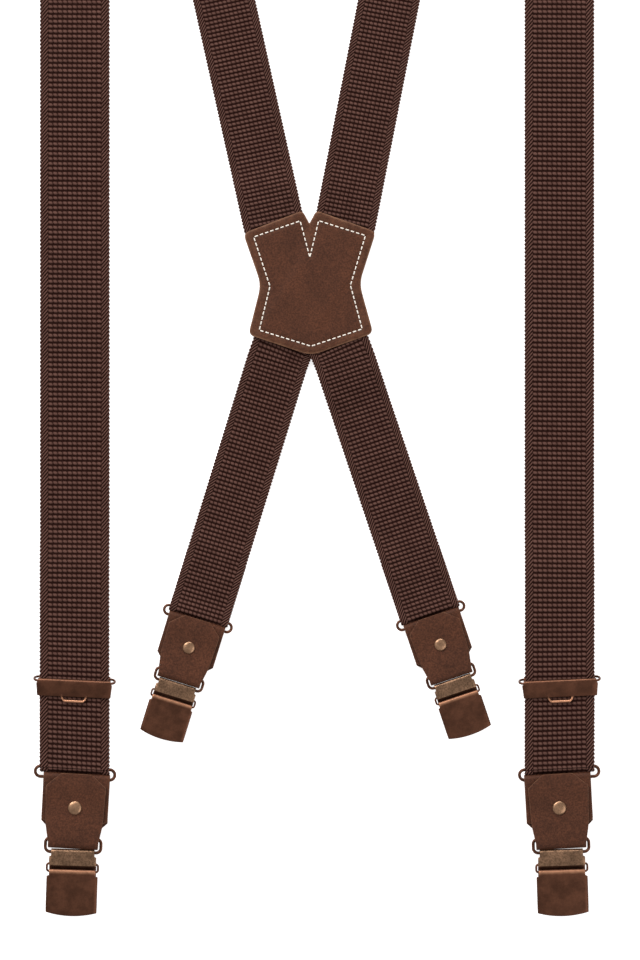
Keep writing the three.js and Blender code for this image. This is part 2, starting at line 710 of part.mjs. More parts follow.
// ---- The whole pair, lying with its footprint centred on the origin ----
const pair = new THREE.Group();
for (const side of [-1, 1]) {
  frontStrap(pair, side);
  const name = side < 0 ? "left" : "right";
  pair.add(named(`${name}_shoulder_webbing`, backWebbing(side), webbingCloth));
}
const crossed = groupAt(pair, "back", BACK.x, BACK.y, 0, BACK.turn);
backLeg(crossed, -1);
backLeg(crossed, 1);
patch(crossed);

const group = new THREE.Group();
group.add(pair);
group.updateMatrixWorld(true);
const bounds = new THREE.Box3().setFromObject(group, true);
const centre = bounds.getCenter(new THREE.Vector3());
pair.position.set(-centre.x, -centre.y, -bounds.min.z);
group.updateMatrixWorld(true);

export default group;
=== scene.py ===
import json
import math

import bmesh
import bpy
import numpy as np
from mathutils import Matrix, Vector


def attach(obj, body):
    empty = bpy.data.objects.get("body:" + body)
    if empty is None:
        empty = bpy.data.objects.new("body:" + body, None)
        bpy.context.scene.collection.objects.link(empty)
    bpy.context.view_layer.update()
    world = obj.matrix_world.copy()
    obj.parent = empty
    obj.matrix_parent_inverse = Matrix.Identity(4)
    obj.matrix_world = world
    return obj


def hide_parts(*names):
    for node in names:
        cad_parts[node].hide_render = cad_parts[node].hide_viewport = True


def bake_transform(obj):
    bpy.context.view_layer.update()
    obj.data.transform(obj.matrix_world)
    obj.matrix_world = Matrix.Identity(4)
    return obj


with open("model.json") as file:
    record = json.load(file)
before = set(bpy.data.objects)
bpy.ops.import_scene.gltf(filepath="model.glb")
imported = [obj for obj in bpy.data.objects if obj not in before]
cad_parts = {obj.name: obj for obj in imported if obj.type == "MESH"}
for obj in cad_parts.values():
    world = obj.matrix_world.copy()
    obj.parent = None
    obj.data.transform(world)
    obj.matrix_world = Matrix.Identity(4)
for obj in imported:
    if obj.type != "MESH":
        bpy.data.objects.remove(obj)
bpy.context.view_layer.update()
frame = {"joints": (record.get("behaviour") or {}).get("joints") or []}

bl_info = {
    "name": "Suspenders",
    "version": (1, 0, 0),
    "blender": (4, 5, 0),
    "location": "View3D > Sidebar > Suspenders",
    "description": "Builds a pair of clip-on suspenders around their frame",
    "category": "Add Mesh",
}

MM = 0.001
SIDES = ("left", "right")
UP = Vector((0, 0, 1))
JOINTS = {joint["name"]: joint for joint in frame["joints"]}

# The straps' plan, in millimetres: the front straps on either side of "mid", and the back with
# its own middle and turn, its places written for the right side.
PLAN = {
    "mid": -1.45,
    "spread": 121.2,
    "loop": -143.9,
    "adjuster": -100.9,
    "seam": 286.0,
    "corner": 335.0,
    "back": (-4.9, 98.0),
    "turn": math.radians(0.7),
    "top": (18.05, 31.0),
    "top_lean": math.radians(11.8),
    "leg": (17.0, -39.0),
    "leg_lean": math.radians(17.9),
    "leg_loop": -164.4,
}
LIFT_PLACE = Vector((PLAN["mid"] - PLAN["spread"], PLAN["seam"], 1.4))  # the left lift joint
PLAN_ORIGIN = Vector(JOINTS["left_front_lift"]["pos_m"]) / MM - LIFT_PLACE

# Weave
PITCH_WIDTH = 35.2  # webbing width at which a row is as long as its pitch
CORDS = 1.25  # selvedge cords to each row of ribs
CORD_SLOPE = 8.4  # rows that a cord climbs over half the webbing's width
RIB_LEAN = 0.34  # columns that a rib leans over one row
ROW_STEPS, RIB_STEPS, SELVEDGE_STEPS = 6, 3, 12  # mesh steps to a row, a rib and a selvedge
LONG_SPAN = 5.0  # millimetres past which the webbing's level changes gently

# Fits, in millimetres
PLAY = 0.15  # between a wire and what is folded round it
LAYER_GAP = 0.3  # between two layers of webbing
STRAP_BAR, BAR_LEVEL = 0.8, 2.8  # strap ring: half its wire, and its height above the table
PLATE_LEVEL = -2.85  # the jaw's rear plate against its pivot
SINK = 0.75  # how far the patch sinks beside the straps
NUDGE = 1e-8  # metres that mark a row as placed


# ---- Sizes and colours ----
def length(name, description, default):
    return bpy.props.FloatProperty(
        name=name, description=description, default=default, min=0.0
    )


def colour(name, description, default):
    return bpy.props.FloatVectorProperty(
        name=name,
        description=description,
        default=default,
        subtype="COLOR",
        size=3,
        min=0.0,
        max=1.0,
    )


class WebbingSettings(bpy.types.PropertyGroup):
    """Sizes of the elastic webbing, in millimetres."""

    width: length("Width", "Width of the front straps in millimetres", 35.2)
    thickness: length("Thickness", "Thickness of the webbing in millimetres", 1.4)
    row_pitch: length("Row pitch", "Distance from one row of the weave to the next", 2.455)
    columns: bpy.props.IntProperty(
        name="Columns", description="Ribs across the middle", default=11, min=4
    )
    field: bpy.props.FloatProperty(
        name="Field",
        description="Share of the width between the selvedges",
        default=0.76,
        subtype="FACTOR",
    )
    relief: length("Relief", "Height of the ribs in millimetres", 0.5)


class LeatherSettings(bpy.types.PropertyGroup):
    """Sizes of the leather pieces, in millimetres."""

    tab_thickness: length("Tab leather", "Thickness of the clip tabs", 1.5)
    patch_thickness: length("Patch leather", "Thickness of each patch leather", 1.2)
    stitch: length("Stitch length", "Length of one stitch of the patch", 1.75)
    stitch_pitch: length("Stitch pitch", "Distance from one stitch to the next", 2.6)
    thread: length("Thread", "Thickness of the thread", 0.62)


class HardwareSettings(bpy.types.PropertyGroup):
    """Sizes of the metal pieces, in millimetres."""

    back_scale: bpy.props.FloatProperty(
        name="Back scale",
        description="Size of the back pieces against the front ones",
        default=0.88,
    )
    ring_wire: length("Ring wire", "Thickness of the wire of the clip rings", 1.6)
    sheet: length("Lever sheet", "Thickness of the lever's sheet metal", 0.6)
    jaw_sheet: length("Jaw sheet", "Thickness of the jaw's sheet metal", 0.7)


class FinishSettings(bpy.types.PropertyGroup):
    """Colours of the materials."""

    rib: colour("Webbing ribs", "Colour of the raised yarn", (0.138, 0.067, 0.052))
    # The gap colour is painted shade: the weave is tinted towards it where it sinks between the
    # ribs.
    gap: colour("Webbing gaps", "Colour between the ribs", (0.013, 0.0025, 0.0012))
    leather: colour("Leather", "Colour of the leather", (0.076, 0.0262, 0.0128))
    # Leather edge: the colour of rubbed and cut edges, also used for painted edge highlights and
    # for a lighter band outside the patch's seam.
    leather_edge_and_highlight: colour("Leather edge", "Colour of rubbed and cut edges", (0.215, 0.105, 0.058))
    thread: colour("Thread", "Colour of the patch stitching", (0.95, 0.88, 0.78))
    bronze: colour("Bronze", "Colour of the dark levers and rings", (0.112, 0.044, 0.024))
    # Copper: the colour of rubbed metal edges, and of the painted highlights along rolled tops and
    # sharp edges.
    wear_and_highlight_copper: colour("Copper", "Colour of rubbed metal edges", (0.62, 0.3, 0.17))
    brass: colour("Brass", "Colour of the rivets and bridge plates", (0.29, 0.165, 0.097))
    rubber: colour("Rubber", "Colour of the grip pads", (0.02, 0.018, 0.017))
    floor: colour("Floor", "Colour of the table", (0.9, 0.9, 0.9))


# ---- Working in edit mode ----
def drop_selection():
    active = bpy.context.view_layer.objects.active
    if active is not None and active.mode != "OBJECT":
        bpy.ops.object.mode_set(mode="OBJECT")
    bpy.ops.object.select_all(action="DESELECT")


def take(obj):
    drop_selection()
    obj.select_set(True)
    bpy.context.view_layer.objects.active = obj


def open_edit(obj, everything=False):
    take(obj)
    bpy.ops.object.mode_set(mode="EDIT")
    bpy.context.tool_settings.mesh_select_mode = (True, False, False)
    bpy.ops.mesh.select_all(action="SELECT" if everything else "DESELECT")


def close_edit():
    bpy.ops.object.mode_set(mode="OBJECT")


def primitive(add, name, stretch=(1, 1, 1), **values):
    """Adds a primitive alone and takes its place, turn and stretch into its mesh."""
    drop_selection()
    add(**values)
    obj = bpy.context.object
    obj.name = name
    obj.scale = stretch
    bpy.ops.object.transform_apply(location=True, rotation=True, scale=True)
    return obj


def draw_up(obj, height):
    """Extrudes a flat mesh by a height in millimetres."""
    open_edit(obj, everything=True)
    extrude((0, 0, height * MM))
    close_edit()


def extrude(step):
    bpy.ops.mesh.extrude_region_move(TRANSFORM_OT_translate={"value": step})


def widen(factors, centre=(0, 0, 0)):
    bpy.ops.transform.resize(value=factors, center_override=centre)


def select_where(obj, test):
    bpy.ops.mesh.select_all(action="DESELECT")
    mesh = bmesh.from_edit_mesh(obj.data)
    for vertex in mesh.verts:
        vertex.select = bool(test(vertex.co))
    mesh.select_flush(True)
    bmesh.update_edit_mesh(obj.data)


def shape(obj, move):
    """Moves every vertex of a mesh to where move(x, y, z) says."""
    mesh = obj.data
    points = np.empty(len(mesh.vertices) * 3)
    mesh.vertices.foreach_get("co", points)
    x, y, z = move(*points.reshape(-1, 3).T)
    mesh.vertices.foreach_set("co", np.stack([x, y, z], 1).ravel())
    mesh.update()


def modify(obj, kind, **values):
    modifier = obj.modifiers.new(kind.title(), kind)
    for key, value in values.items():
        setattr(modifier, key, value)
    take(obj)
    bpy.ops.object.modifier_apply(modifier=modifier.name)


def smooth(obj, degrees=35):
    take(obj)
    bpy.ops.object.shade_smooth_by_angle(angle=math.radians(degrees))


def outward(obj):
    open_edit(obj, everything=True)
    bpy.ops.mesh.remove_doubles(threshold=0.00001)
    bpy.ops.mesh.normals_make_consistent(inside=False)
    close_edit()


def join(parts, name):
    drop_selection()
    for part in parts:
        part.select_set(True)
    bpy.context.view_layer.objects.active = parts[0]
    bpy.ops.object.join()
    joined = bpy.context.view_layer.objects.active
    joined.name = name
    return joined


def store_wear_and_highlight(obj, values):
    attribute = obj.data.attributes.get("wear_and_highlight")
    if attribute is None:
        attribute = obj.data.attributes.new("wear_and_highlight", "FLOAT", "POINT")
    attribute.data.foreach_set("value", values)


def mark_wear_and_highlight(obj, rub_and_highlight=None, gain=4.0):
    """Stores how sharply each vertex turns, raised where the given function says so: the mask of
    rubbed edges and painted highlights.
    """
    mesh = bmesh.new()
    mesh.from_mesh(obj.data)
    wear_and_highlight = []
    for vertex in mesh.verts:
        total = Vector()
        for face in vertex.link_faces:
            total += face.normal
        count = max(len(vertex.link_faces), 1)
        rubbed_and_highlit = rub_and_highlight(*(vertex.co / MM)) if rub_and_highlight else 0.0
        wear_and_highlight.append(max(rubbed_and_highlit, min(1.0, gain * (1 - total.length / count))))
    mesh.free()
    store_wear_and_highlight(obj, wear_and_highlight)


# ---- Shapes of sheet and wire, in millimetres ----
def arc(y, z, radius, start, end, steps, half):
    """Points of (y, z, half width) along an arc, in degrees from +Y."""
    turns = [math.radians(start + (end - start) * i / steps) for i in range(steps + 1)]
    return [(y + radius * math.cos(t), z + radius * math.sin(t), half) for t in turns]


def draw_sheet(name, profile, across=8):
    """Draws a strip out row by row along a line of (y, z, half width)."""
    grid_add = bpy.ops.mesh.primitive_grid_add
    sheet = primitive(grid_add, name, x_subdivisions=across, y_subdivisions=1, size=2 * MM)
    open_edit(sheet)
    for row, sign in zip(profile, (1, -1)):
        select_where(sheet, lambda co, sign=sign: co.y * sign > 0.5 * MM and abs(co.z) < NUDGE / 10)
        widen((row[2], 1, 1))
        step = (0, (row[0] - sign) * MM, row[1] * MM + NUDGE)
        bpy.ops.transform.translate(value=step)
    for last, row in zip(profile[1:], profile[2:]):
        extrude((0, (row[0] - last[0]) * MM, (row[1] - last[1]) * MM))
        widen((row[2] / last[2], 1, 1))
    close_edit()
    return sheet


def ease(obj, width, segments=2, degrees=None):
    """Bevels the edges, or only those that turn by more than some degrees."""
    limit = {}
    if degrees is not None:
        limit = {"limit_method": "ANGLE", "angle_limit": math.radians(degrees)}
    modify(obj, "BEVEL", width=width * MM, segments=segments, **limit)


def thicken(sheet, thickness, edge, segments=2):
    """Gives a drawn strip its thickness and eases its edges."""
    modify(sheet, "SOLIDIFY", thickness=thickness * MM, offset=0.0, use_even_offset=True)
    outward(sheet)
    ease(sheet, edge, segments, 50)
    smooth(sheet, 40)
    return sheet


def wire_ring(name, width, pitch, corner, wire):
    """A torus whose quarters are moved apart, so it becomes a long rounded ring."""
    ring = primitive(
        bpy.ops.mesh.primitive_torus_add,
        name,
        major_radius=corner * MM,
        minor_radius=wire / 2 * MM,
        major_segments=40,
        minor_segments=14,
        rotation=(0, 0, math.radians(4.5)),
    )
    open_edit(ring)
    for axis, shift in ((0, width / 2 - wire / 2 - corner), (1, pitch / 2 - corner)):
        for sign in (1, -1):
            select_where(ring, lambda co, axis=axis, sign=sign: co[axis] * sign > 0)
            step = [0, 0, 0]
            step[axis] = sign * shift * MM
            bpy.ops.transform.translate(value=step)
    close_edit()
    smooth(ring, 60)
    return ring


def rod(name, radius, width, x, y, z):
    return primitive(
        bpy.ops.mesh.primitive_cylinder_add,
        name,
        vertices=24,
        radius=radius * MM,
        depth=width * MM,
        location=(x * MM, y * MM, z * MM),
        rotation=(0, math.pi / 2, 0),
    )


def block(name, low, high, edge):
    """A box between two corners with its edges eased."""
    middle = [(a + b) / 2 * MM for a, b in zip(low, high)]
    sides = [(b - a) * MM for a, b in zip(low, high)]
    box = primitive(bpy.ops.mesh.primitive_cube_add, name, sides, size=1, location=middle)
    ease(box, edge)
    return box


def pivot(joint_name):
    """The place and turn of a pivot on the table, from the frame's joint."""
    joint = JOINTS[joint_name]
    across = -Vector(joint["axis"])
    turn = math.atan2(across.y, across.x)
    return Matrix.Translation(Vector(joint["pos_m"])) @ Matrix.Rotation(turn, 4, "Z")


def set_in_place(master, name, place, node, finishes, body):
    """Copies a finished piece to its place, on the body and instead of the frame's node."""
    piece = master.copy()
    piece.data = master.data.copy()
    piece.name = name
    bpy.context.scene.collection.objects.link(piece)
    piece.data.transform(place)
    for finish in finishes if isinstance(finishes, list) else [finishes]:
        piece.data.materials.append(finish)
    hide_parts(node)
    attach(piece, body)
    return piece


def shift(obj, x, y, z):
    obj.data.transform(Matrix.Translation(Vector((x, y, z)) * MM))


def discard(masters):
    for master in masters:
        bpy.data.objects.remove(master)


# ---- Shader groups and materials ----
class Nodes:
    """Short ways to add and join nodes in one tree."""

    def __init__(self, tree):
        self.tree = tree

    def add(self, kind, **values):
        node = self.tree.nodes.new(kind)
        for key, value in values.items():
            setattr(node, key, value)
        return node

    def link(self, source, target):
        self.tree.links.new(source, target)

    def feed(self, socket, value):
        if isinstance(value, bpy.types.NodeSocket):
            self.link(value, socket)
        else:
            socket.default_value = value

    def math(self, operation, *values):
        node = self.add("ShaderNodeMath", operation=operation)
        for socket, value in zip(node.inputs, values):
            self.feed(socket, value)
        return node.outputs[0]

    def times(self, a, b):
        return self.math("MULTIPLY", a, b)

    def less(self, a, b):
        return self.math("SUBTRACT", a, b)

    def power(self, value, exponent):
        return self.math("POWER", value, exponent)

    def arch(self, share):
        """Rises and falls once while the share goes from 0 to 1."""
        return self.math("SINE", self.times(share, math.pi))

    def ramp(self, value, low, high, to_low=0.0, to_high=1.0):
        node = self.add("ShaderNodeMapRange", interpolation_type="SMOOTHSTEP")
        labels = ("Value", "From Min", "From Max", "To Min", "To Max")
        for label, given in zip(labels, (value, low, high, to_low, to_high)):
            self.feed(node.inputs[label], given)
        return node.outputs["Result"]

    def mix(self, factor, a, b, kind="RGBA"):
        node = self.add("ShaderNodeMix", data_type=kind)
        for label, given in zip(("Factor", "A", "B"), (factor, a, b)):
            self.feed(node.inputs[label], given)
        return node.outputs["Result"]

    def scaled(self, vector, factor):
        node = self.add("ShaderNodeVectorMath", operation="SCALE")
        self.feed(node.inputs[0], vector)
        self.feed(node.inputs["Scale"], factor)
        return node.outputs[0]

    def noise(self, vector, scale, detail=3.0, roughness=0.55):
        node = self.add("ShaderNodeTexNoise")
        labels = ("Vector", "Scale", "Detail", "Roughness")
        for label, given in zip(labels, (vector, scale, detail, roughness)):
            self.feed(node.inputs[label], given)
        return node.outputs["Fac"]


def new_group(name, inputs, outputs):
    """A shader group: an input without a default takes a vector, all else is a number."""
    group = bpy.data.node_groups.new(name, "ShaderNodeTree")
    for label, default in inputs.items():
        kind = "NodeSocketVector" if default is None else "NodeSocketFloat"
        socket = group.interface.new_socket(label, in_out="INPUT", socket_type=kind)
        if default is not None:
            socket.default_value = default
    for label in outputs:
        group.interface.new_socket(label, in_out="OUTPUT", socket_type="NodeSocketFloat")
    nodes = Nodes(group)
    return nodes, nodes.add("NodeGroupInput").outputs, nodes.add("NodeGroupOutput").inputs


def weave_group():
    """Ribs and selvedge cords from the piece's own map: U across from -1 to 1, V in rows."""
    nodes, given, out = new_group(
        "Webbing weave",
        {"Map": None, "Columns": 11.0, "Field": 0.76, "Cord slope": CORD_SLOPE},
        ("Rib", "Height", "Strands"),
    )
    split = nodes.add("ShaderNodeSeparateXYZ")
    nodes.link(given["Map"], split.inputs[0])
    across, along = split.outputs["X"], split.outputs["Y"]
    row = nodes.math("FRACT", along)
    share = nodes.math("ADD", nodes.math("DIVIDE", across, given["Field"]), 1.0)
    column = nodes.times(share, nodes.times(given["Columns"], 0.5))
    leaning = nodes.math("ADD", column, nodes.times(nodes.less(row, 0.5), RIB_LEAN))
    rib_across = nodes.power(nodes.arch(nodes.math("FRACT", leaning)), 0.5)
    middle = nodes.times(rib_across, nodes.power(nodes.arch(row), 1.4))
    turned = nodes.less(along, nodes.times(across, given["Cord slope"]))
    cord = nodes.arch(nodes.math("FRACT", nodes.times(turned, CORDS)))
    cord = nodes.times(nodes.power(cord, 2.6), 1.25)
    past_field = nodes.less(nodes.math("ABSOLUTE", across), given["Field"])
    selvedge = nodes.ramp(past_field, -0.015, 0.02)
    rib = nodes.mix(selvedge, middle, cord, "FLOAT")
    rib_ply = nodes.math("ADD", nodes.times(column, 18.0), nodes.times(along, 25.0))
    cord_ply = nodes.times(nodes.math("ADD", along, nodes.times(across, 30.0)), 20.0)
    rib_ply, cord_ply = nodes.math("SINE", rib_ply), nodes.math("SINE", cord_ply)
    plies = nodes.mix(selvedge, rib_ply, cord_ply, "FLOAT")
    strands = nodes.math("MULTIPLY_ADD", plies, 0.5, 0.5)
    nodes.link(rib, out["Rib"])
    nodes.link(strands, out["Strands"])
    nodes.link(nodes.math("MULTIPLY_ADD", strands, 0.14, rib), out["Height"])
    return nodes.tree


def grain_group():
    """Leather pores and creases, with slow changes of tone and fine flecks."""
    nodes, given, out = new_group(
        "Leather grain",
        {"Place": None, "Pore size": 1400.0},
        ("Height", "Tone", "Pores", "Fleck"),
    )
    place = given["Place"]
    pores = nodes.add("ShaderNodeTexVoronoi", feature="SMOOTH_F1")
    nodes.link(place, pores.inputs["Vector"])
    nodes.link(given["Pore size"], pores.inputs["Scale"])
    distance = pores.outputs["Distance"]
    fine = nodes.noise(place, 2600.0, 4.0)
    height = nodes.math("MULTIPLY_ADD", fine, 0.4, nodes.times(distance, 0.9))
    nodes.link(height, out["Height"])
    nodes.link(nodes.noise(place, 90.0, 6.0, 0.6), out["Tone"])
    nodes.link(nodes.ramp(distance, 0.1, 0.6), out["Pores"])
    nodes.link(nodes.noise(place, 1250.0, 2.0, 0.6), out["Fleck"])
    return nodes.tree


def patina_group():
    """Blotches, fine pits, and rubbed edges of antiqued metal which also stand in for painted edge
    highlights.
    """
    nodes, given, out = new_group(
        "Metal patina",
        {"Place": None, "Edge": 0.0, "Rub": 1.0},
        ("Rubbed", "Blotch", "Pits"),
    )
    place = given["Place"]
    broken = nodes.math("MULTIPLY_ADD", nodes.noise(place, 420.0), 0.7, 0.55)
    rubbed_and_highlit = nodes.times(nodes.times(given["Edge"], broken), given["Rub"])
    nodes.link(nodes.ramp(rubbed_and_highlit, 0.12, 0.75), out["Rubbed"])
    nodes.link(nodes.noise(place, 160.0, 6.0, 0.62), out["Blotch"])
    nodes.link(nodes.noise(place, 1150.0, 4.0, 0.7), out["Pits"])
    return nodes.tree


def use_group(nodes, tree, **values):
    group = nodes.add("ShaderNodeGroup")
    group.node_tree = tree
    for label, value in values.items():
        nodes.feed(group.inputs[label.replace("_", " ")], value)
    return group.outputs


def rgba(value, gain=1.0):
    return (*(part * gain for part in value), 1.0)


def begin_material(name, **fixed):
    """A new material, with the values that are the same all over set on its shader."""
    material = bpy.data.materials.new(name)
    material.use_nodes = True
    surface = material.node_tree.nodes["Principled BSDF"]
    for label, value in fixed.items():
        surface.inputs[label.replace("_", " ")].default_value = value
    return material, Nodes(material.node_tree), surface.inputs


def bump(nodes, surface, height, strength, distance):
    node = nodes.add("ShaderNodeBump")
    node.inputs["Strength"].default_value = strength
    node.inputs["Distance"].default_value = distance * MM
    nodes.link(height, node.inputs["Height"])
    nodes.link(node.outputs["Normal"], surface["Normal"])


def place_of(nodes):
    return nodes.add("ShaderNodeTexCoord").outputs["Object"]


def edge_of(nodes):
    return nodes.add("ShaderNodeAttribute", attribute_name="wear_and_highlight").outputs["Fac"]


def webbing_material(groups, finish, settings):
    material, nodes, surface = begin_material(
        "Brown webbing", Roughness=0.82, Specular_IOR_Level=0.07
    )
    place = place_of(nodes)
    weave = use_group(
        nodes,
        groups["weave"],
        Map=nodes.add("ShaderNodeUVMap", uv_map="weave").outputs["UV"],
        Columns=float(settings.columns),
        Field=settings.field,
        Cord_slope=CORD_SLOPE,
    )
    rib = weave["Rib"]
    # Painted shade: the lower the weave lies between the ribs, the nearer its colour comes to the
    # near-black gap colour, and the rib tops take the full rib colour.
    level = nodes.times(nodes.ramp(rib, 0.12, 0.95), nodes.ramp(rib, 0.9, 1.25, 1.0, 1.3))
    uneven = nodes.ramp(nodes.noise(place, 230.0, 4.0), 0.25, 0.75, 0.74, 1.15)
    level = nodes.times(level, uneven)
    level = nodes.times(level, nodes.ramp(weave["Strands"], 0.0, 1.0, 0.72, 1.08))
    tint = nodes.mix(level, rgba(finish.gap), rgba(finish.rib))
    fuzz = nodes.noise(place, 3200.0, 2.0)
    tint = nodes.mix(nodes.ramp(fuzz, 0.55, 0.85, 0.0, 0.25), tint, rgba(finish.rib, 1.5))
    nodes.link(tint, surface["Base Color"])
    height = nodes.math("MULTIPLY_ADD", fuzz, 0.25, weave["Height"])
    bump(nodes, surface, height, 0.7, 0.25)
    return material


def leather_material(groups, finish):
    material, nodes, surface = begin_material("Brown leather", Specular_IOR_Level=0.16)
    place = place_of(nodes)
    grain = use_group(nodes, groups["grain"], Place=place, Pore_size=1500.0)
    tone = nodes.ramp(grain["Tone"], 0.3, 0.72, 0.84, 1.18)
    tone = nodes.times(tone, nodes.ramp(grain["Fleck"], 0.3, 0.7, 0.7, 1.34))
    pores = nodes.ramp(grain["Pores"], 0.0, 1.0, 0.28, 0.0)
    dark = nodes.mix(pores, nodes.scaled(finish.leather, tone), rgba(finish.leather, 0.45))
    broken = nodes.ramp(nodes.noise(place, 300.0), 0.3, 0.7, 0.55, 1.0)
    # Lighter edges: cut and rubbed edge colour with a painted edge highlight, and a lighter band
    # outside the patch's seam.
    rubbed_and_highlit = nodes.ramp(nodes.times(edge_of(nodes), broken), 0.1, 0.7, 0.0, 0.85)
    nodes.link(nodes.mix(rubbed_and_highlit, dark, rgba(finish.leather_edge_and_highlight)), surface["Base Color"])
    nodes.link(nodes.ramp(grain["Tone"], 0.3, 0.7, 0.58, 0.72), surface["Roughness"])
    bump(nodes, surface, grain["Height"], 0.35, 0.12)
    return material


def thread_material(finish):
    material, nodes, surface = begin_material("Cream thread", Roughness=0.75)
    twist = nodes.add("ShaderNodeTexWave", bands_direction="DIAGONAL")
    nodes.link(place_of(nodes), twist.inputs["Vector"])
    twist.inputs["Scale"].default_value = 900.0
    ply = twist.outputs["Fac"]
    shade = nodes.ramp(ply, 0.0, 1.0, 0.0, 0.2)
    tint = nodes.mix(shade, rgba(finish.thread), rgba(finish.thread, 0.6))
    nodes.link(tint, surface["Base Color"])
    bump(nodes, surface, ply, 0.4, 0.08)
    return material


def metal_material(groups, name, base, edge, rub_and_highlight, rough, pitted):
    material, nodes, surface = begin_material(name, Metallic=0.85)
    patina = use_group(
        nodes, groups["patina"], Place=place_of(nodes), Edge=edge_of(nodes), Rub=rub_and_highlight
    )
    blotch, pits = patina["Blotch"], patina["Pits"]
    toned = nodes.scaled(base, nodes.ramp(blotch, 0.3, 0.7, 0.8, 1.22))
    stained = nodes.mix(nodes.ramp(pits, 0.42, 0.64, 0.0, pitted), toned, rgba(base, 0.35))
    # Rubbed edges and painted highlights take the copper colour.
    nodes.link(nodes.mix(patina["Rubbed"], stained, rgba(edge)), surface["Base Color"])
    nodes.link(nodes.ramp(blotch, 0.3, 0.7, rough - 0.05, rough + 0.08), surface["Roughness"])
    bump(nodes, surface, pits, 0.25 + 0.5 * pitted, 0.05 + 0.12 * pitted)
    return material


def rubber_material(finish):
    material, nodes, surface = begin_material("Grip rubber", Roughness=0.7)
    speck = nodes.noise(place_of(nodes), 900.0, 4.0)
    light = nodes.ramp(speck, 0.4, 0.7)
    tint = nodes.mix(light, rgba(finish.rubber), rgba(finish.rubber, 2.2))
    nodes.link(tint, surface["Base Color"])
    bump(nodes, surface, speck, 0.2, 0.05)
    return material


FINISHES = {}


def make_finishes():
    scene = bpy.context.scene
    finish = scene.suspender_finish
    groups = {"weave": weave_group(), "grain": grain_group(), "patina": patina_group()}
    FINISHES["webbing"] = webbing_material(groups, finish, scene.suspender_webbing)
    FINISHES["leather"] = leather_material(groups, finish)
    FINISHES["thread"] = thread_material(finish)
    FINISHES["rubber"] = rubber_material(finish)
    rivet_head = [part * 1.3 for part in finish.brass]
    for key, name, base, rub_and_highlight, rough, pitted in (
        ("bronze", "Antique bronze", finish.bronze, 1.0, 0.42, 0.2),
        ("brass", "Antique brass", finish.brass, 0.6, 0.36, 0.75),
        ("rivet", "Rivet brass", rivet_head, 0.3, 0.33, 0.3),
    ):
        FINISHES[key] = metal_material(groups, name, base, finish.wear_and_highlight_copper, rub_and_highlight, rough, pitted)


# ---- Webbing ----
class Station:
    """One line across a strap, from which the ribbon is woven to the next one.

    It has its middle, direction across, normal, half width in place and place along, and the
    skew of its rows, its thickness and the half width of its cloth laid flat.
    """

    def __init__(self, middle, across, normal, reach, along, skew, thickness, half):
        self.middle = Vector(middle)
        self.across = Vector(across)
        self.normal = Vector(normal)
        self.reach = reach
        self.along = along
        self.skew = skew
        self.thickness = thickness
        self.half = half


def row_places(stations, pitch, whole):
    """The rows that each station stands at, and every row at which the ribbon has points."""
    rows = [0.0]
    for before, after in zip(stations, stations[1:]):
        scale = (before.half + after.half) / PITCH_WIDTH
        rows.append(rows[-1] + (after.along - before.along) / (pitch * scale))
    rows = np.array(rows)
    first = stations[0].along / pitch
    if whole:
        rows *= (round(first + rows[-1]) - first) / rows[-1]
    rows += first
    start, end = math.ceil(rows[0] * ROW_STEPS), math.floor(rows[-1] * ROW_STEPS)
    steps = np.arange(start, end + 1) / ROW_STEPS
    kept = [step for step in steps if np.abs(rows - step).min() > 0.05]
    return rows, np.sort(np.concatenate([rows, kept]))


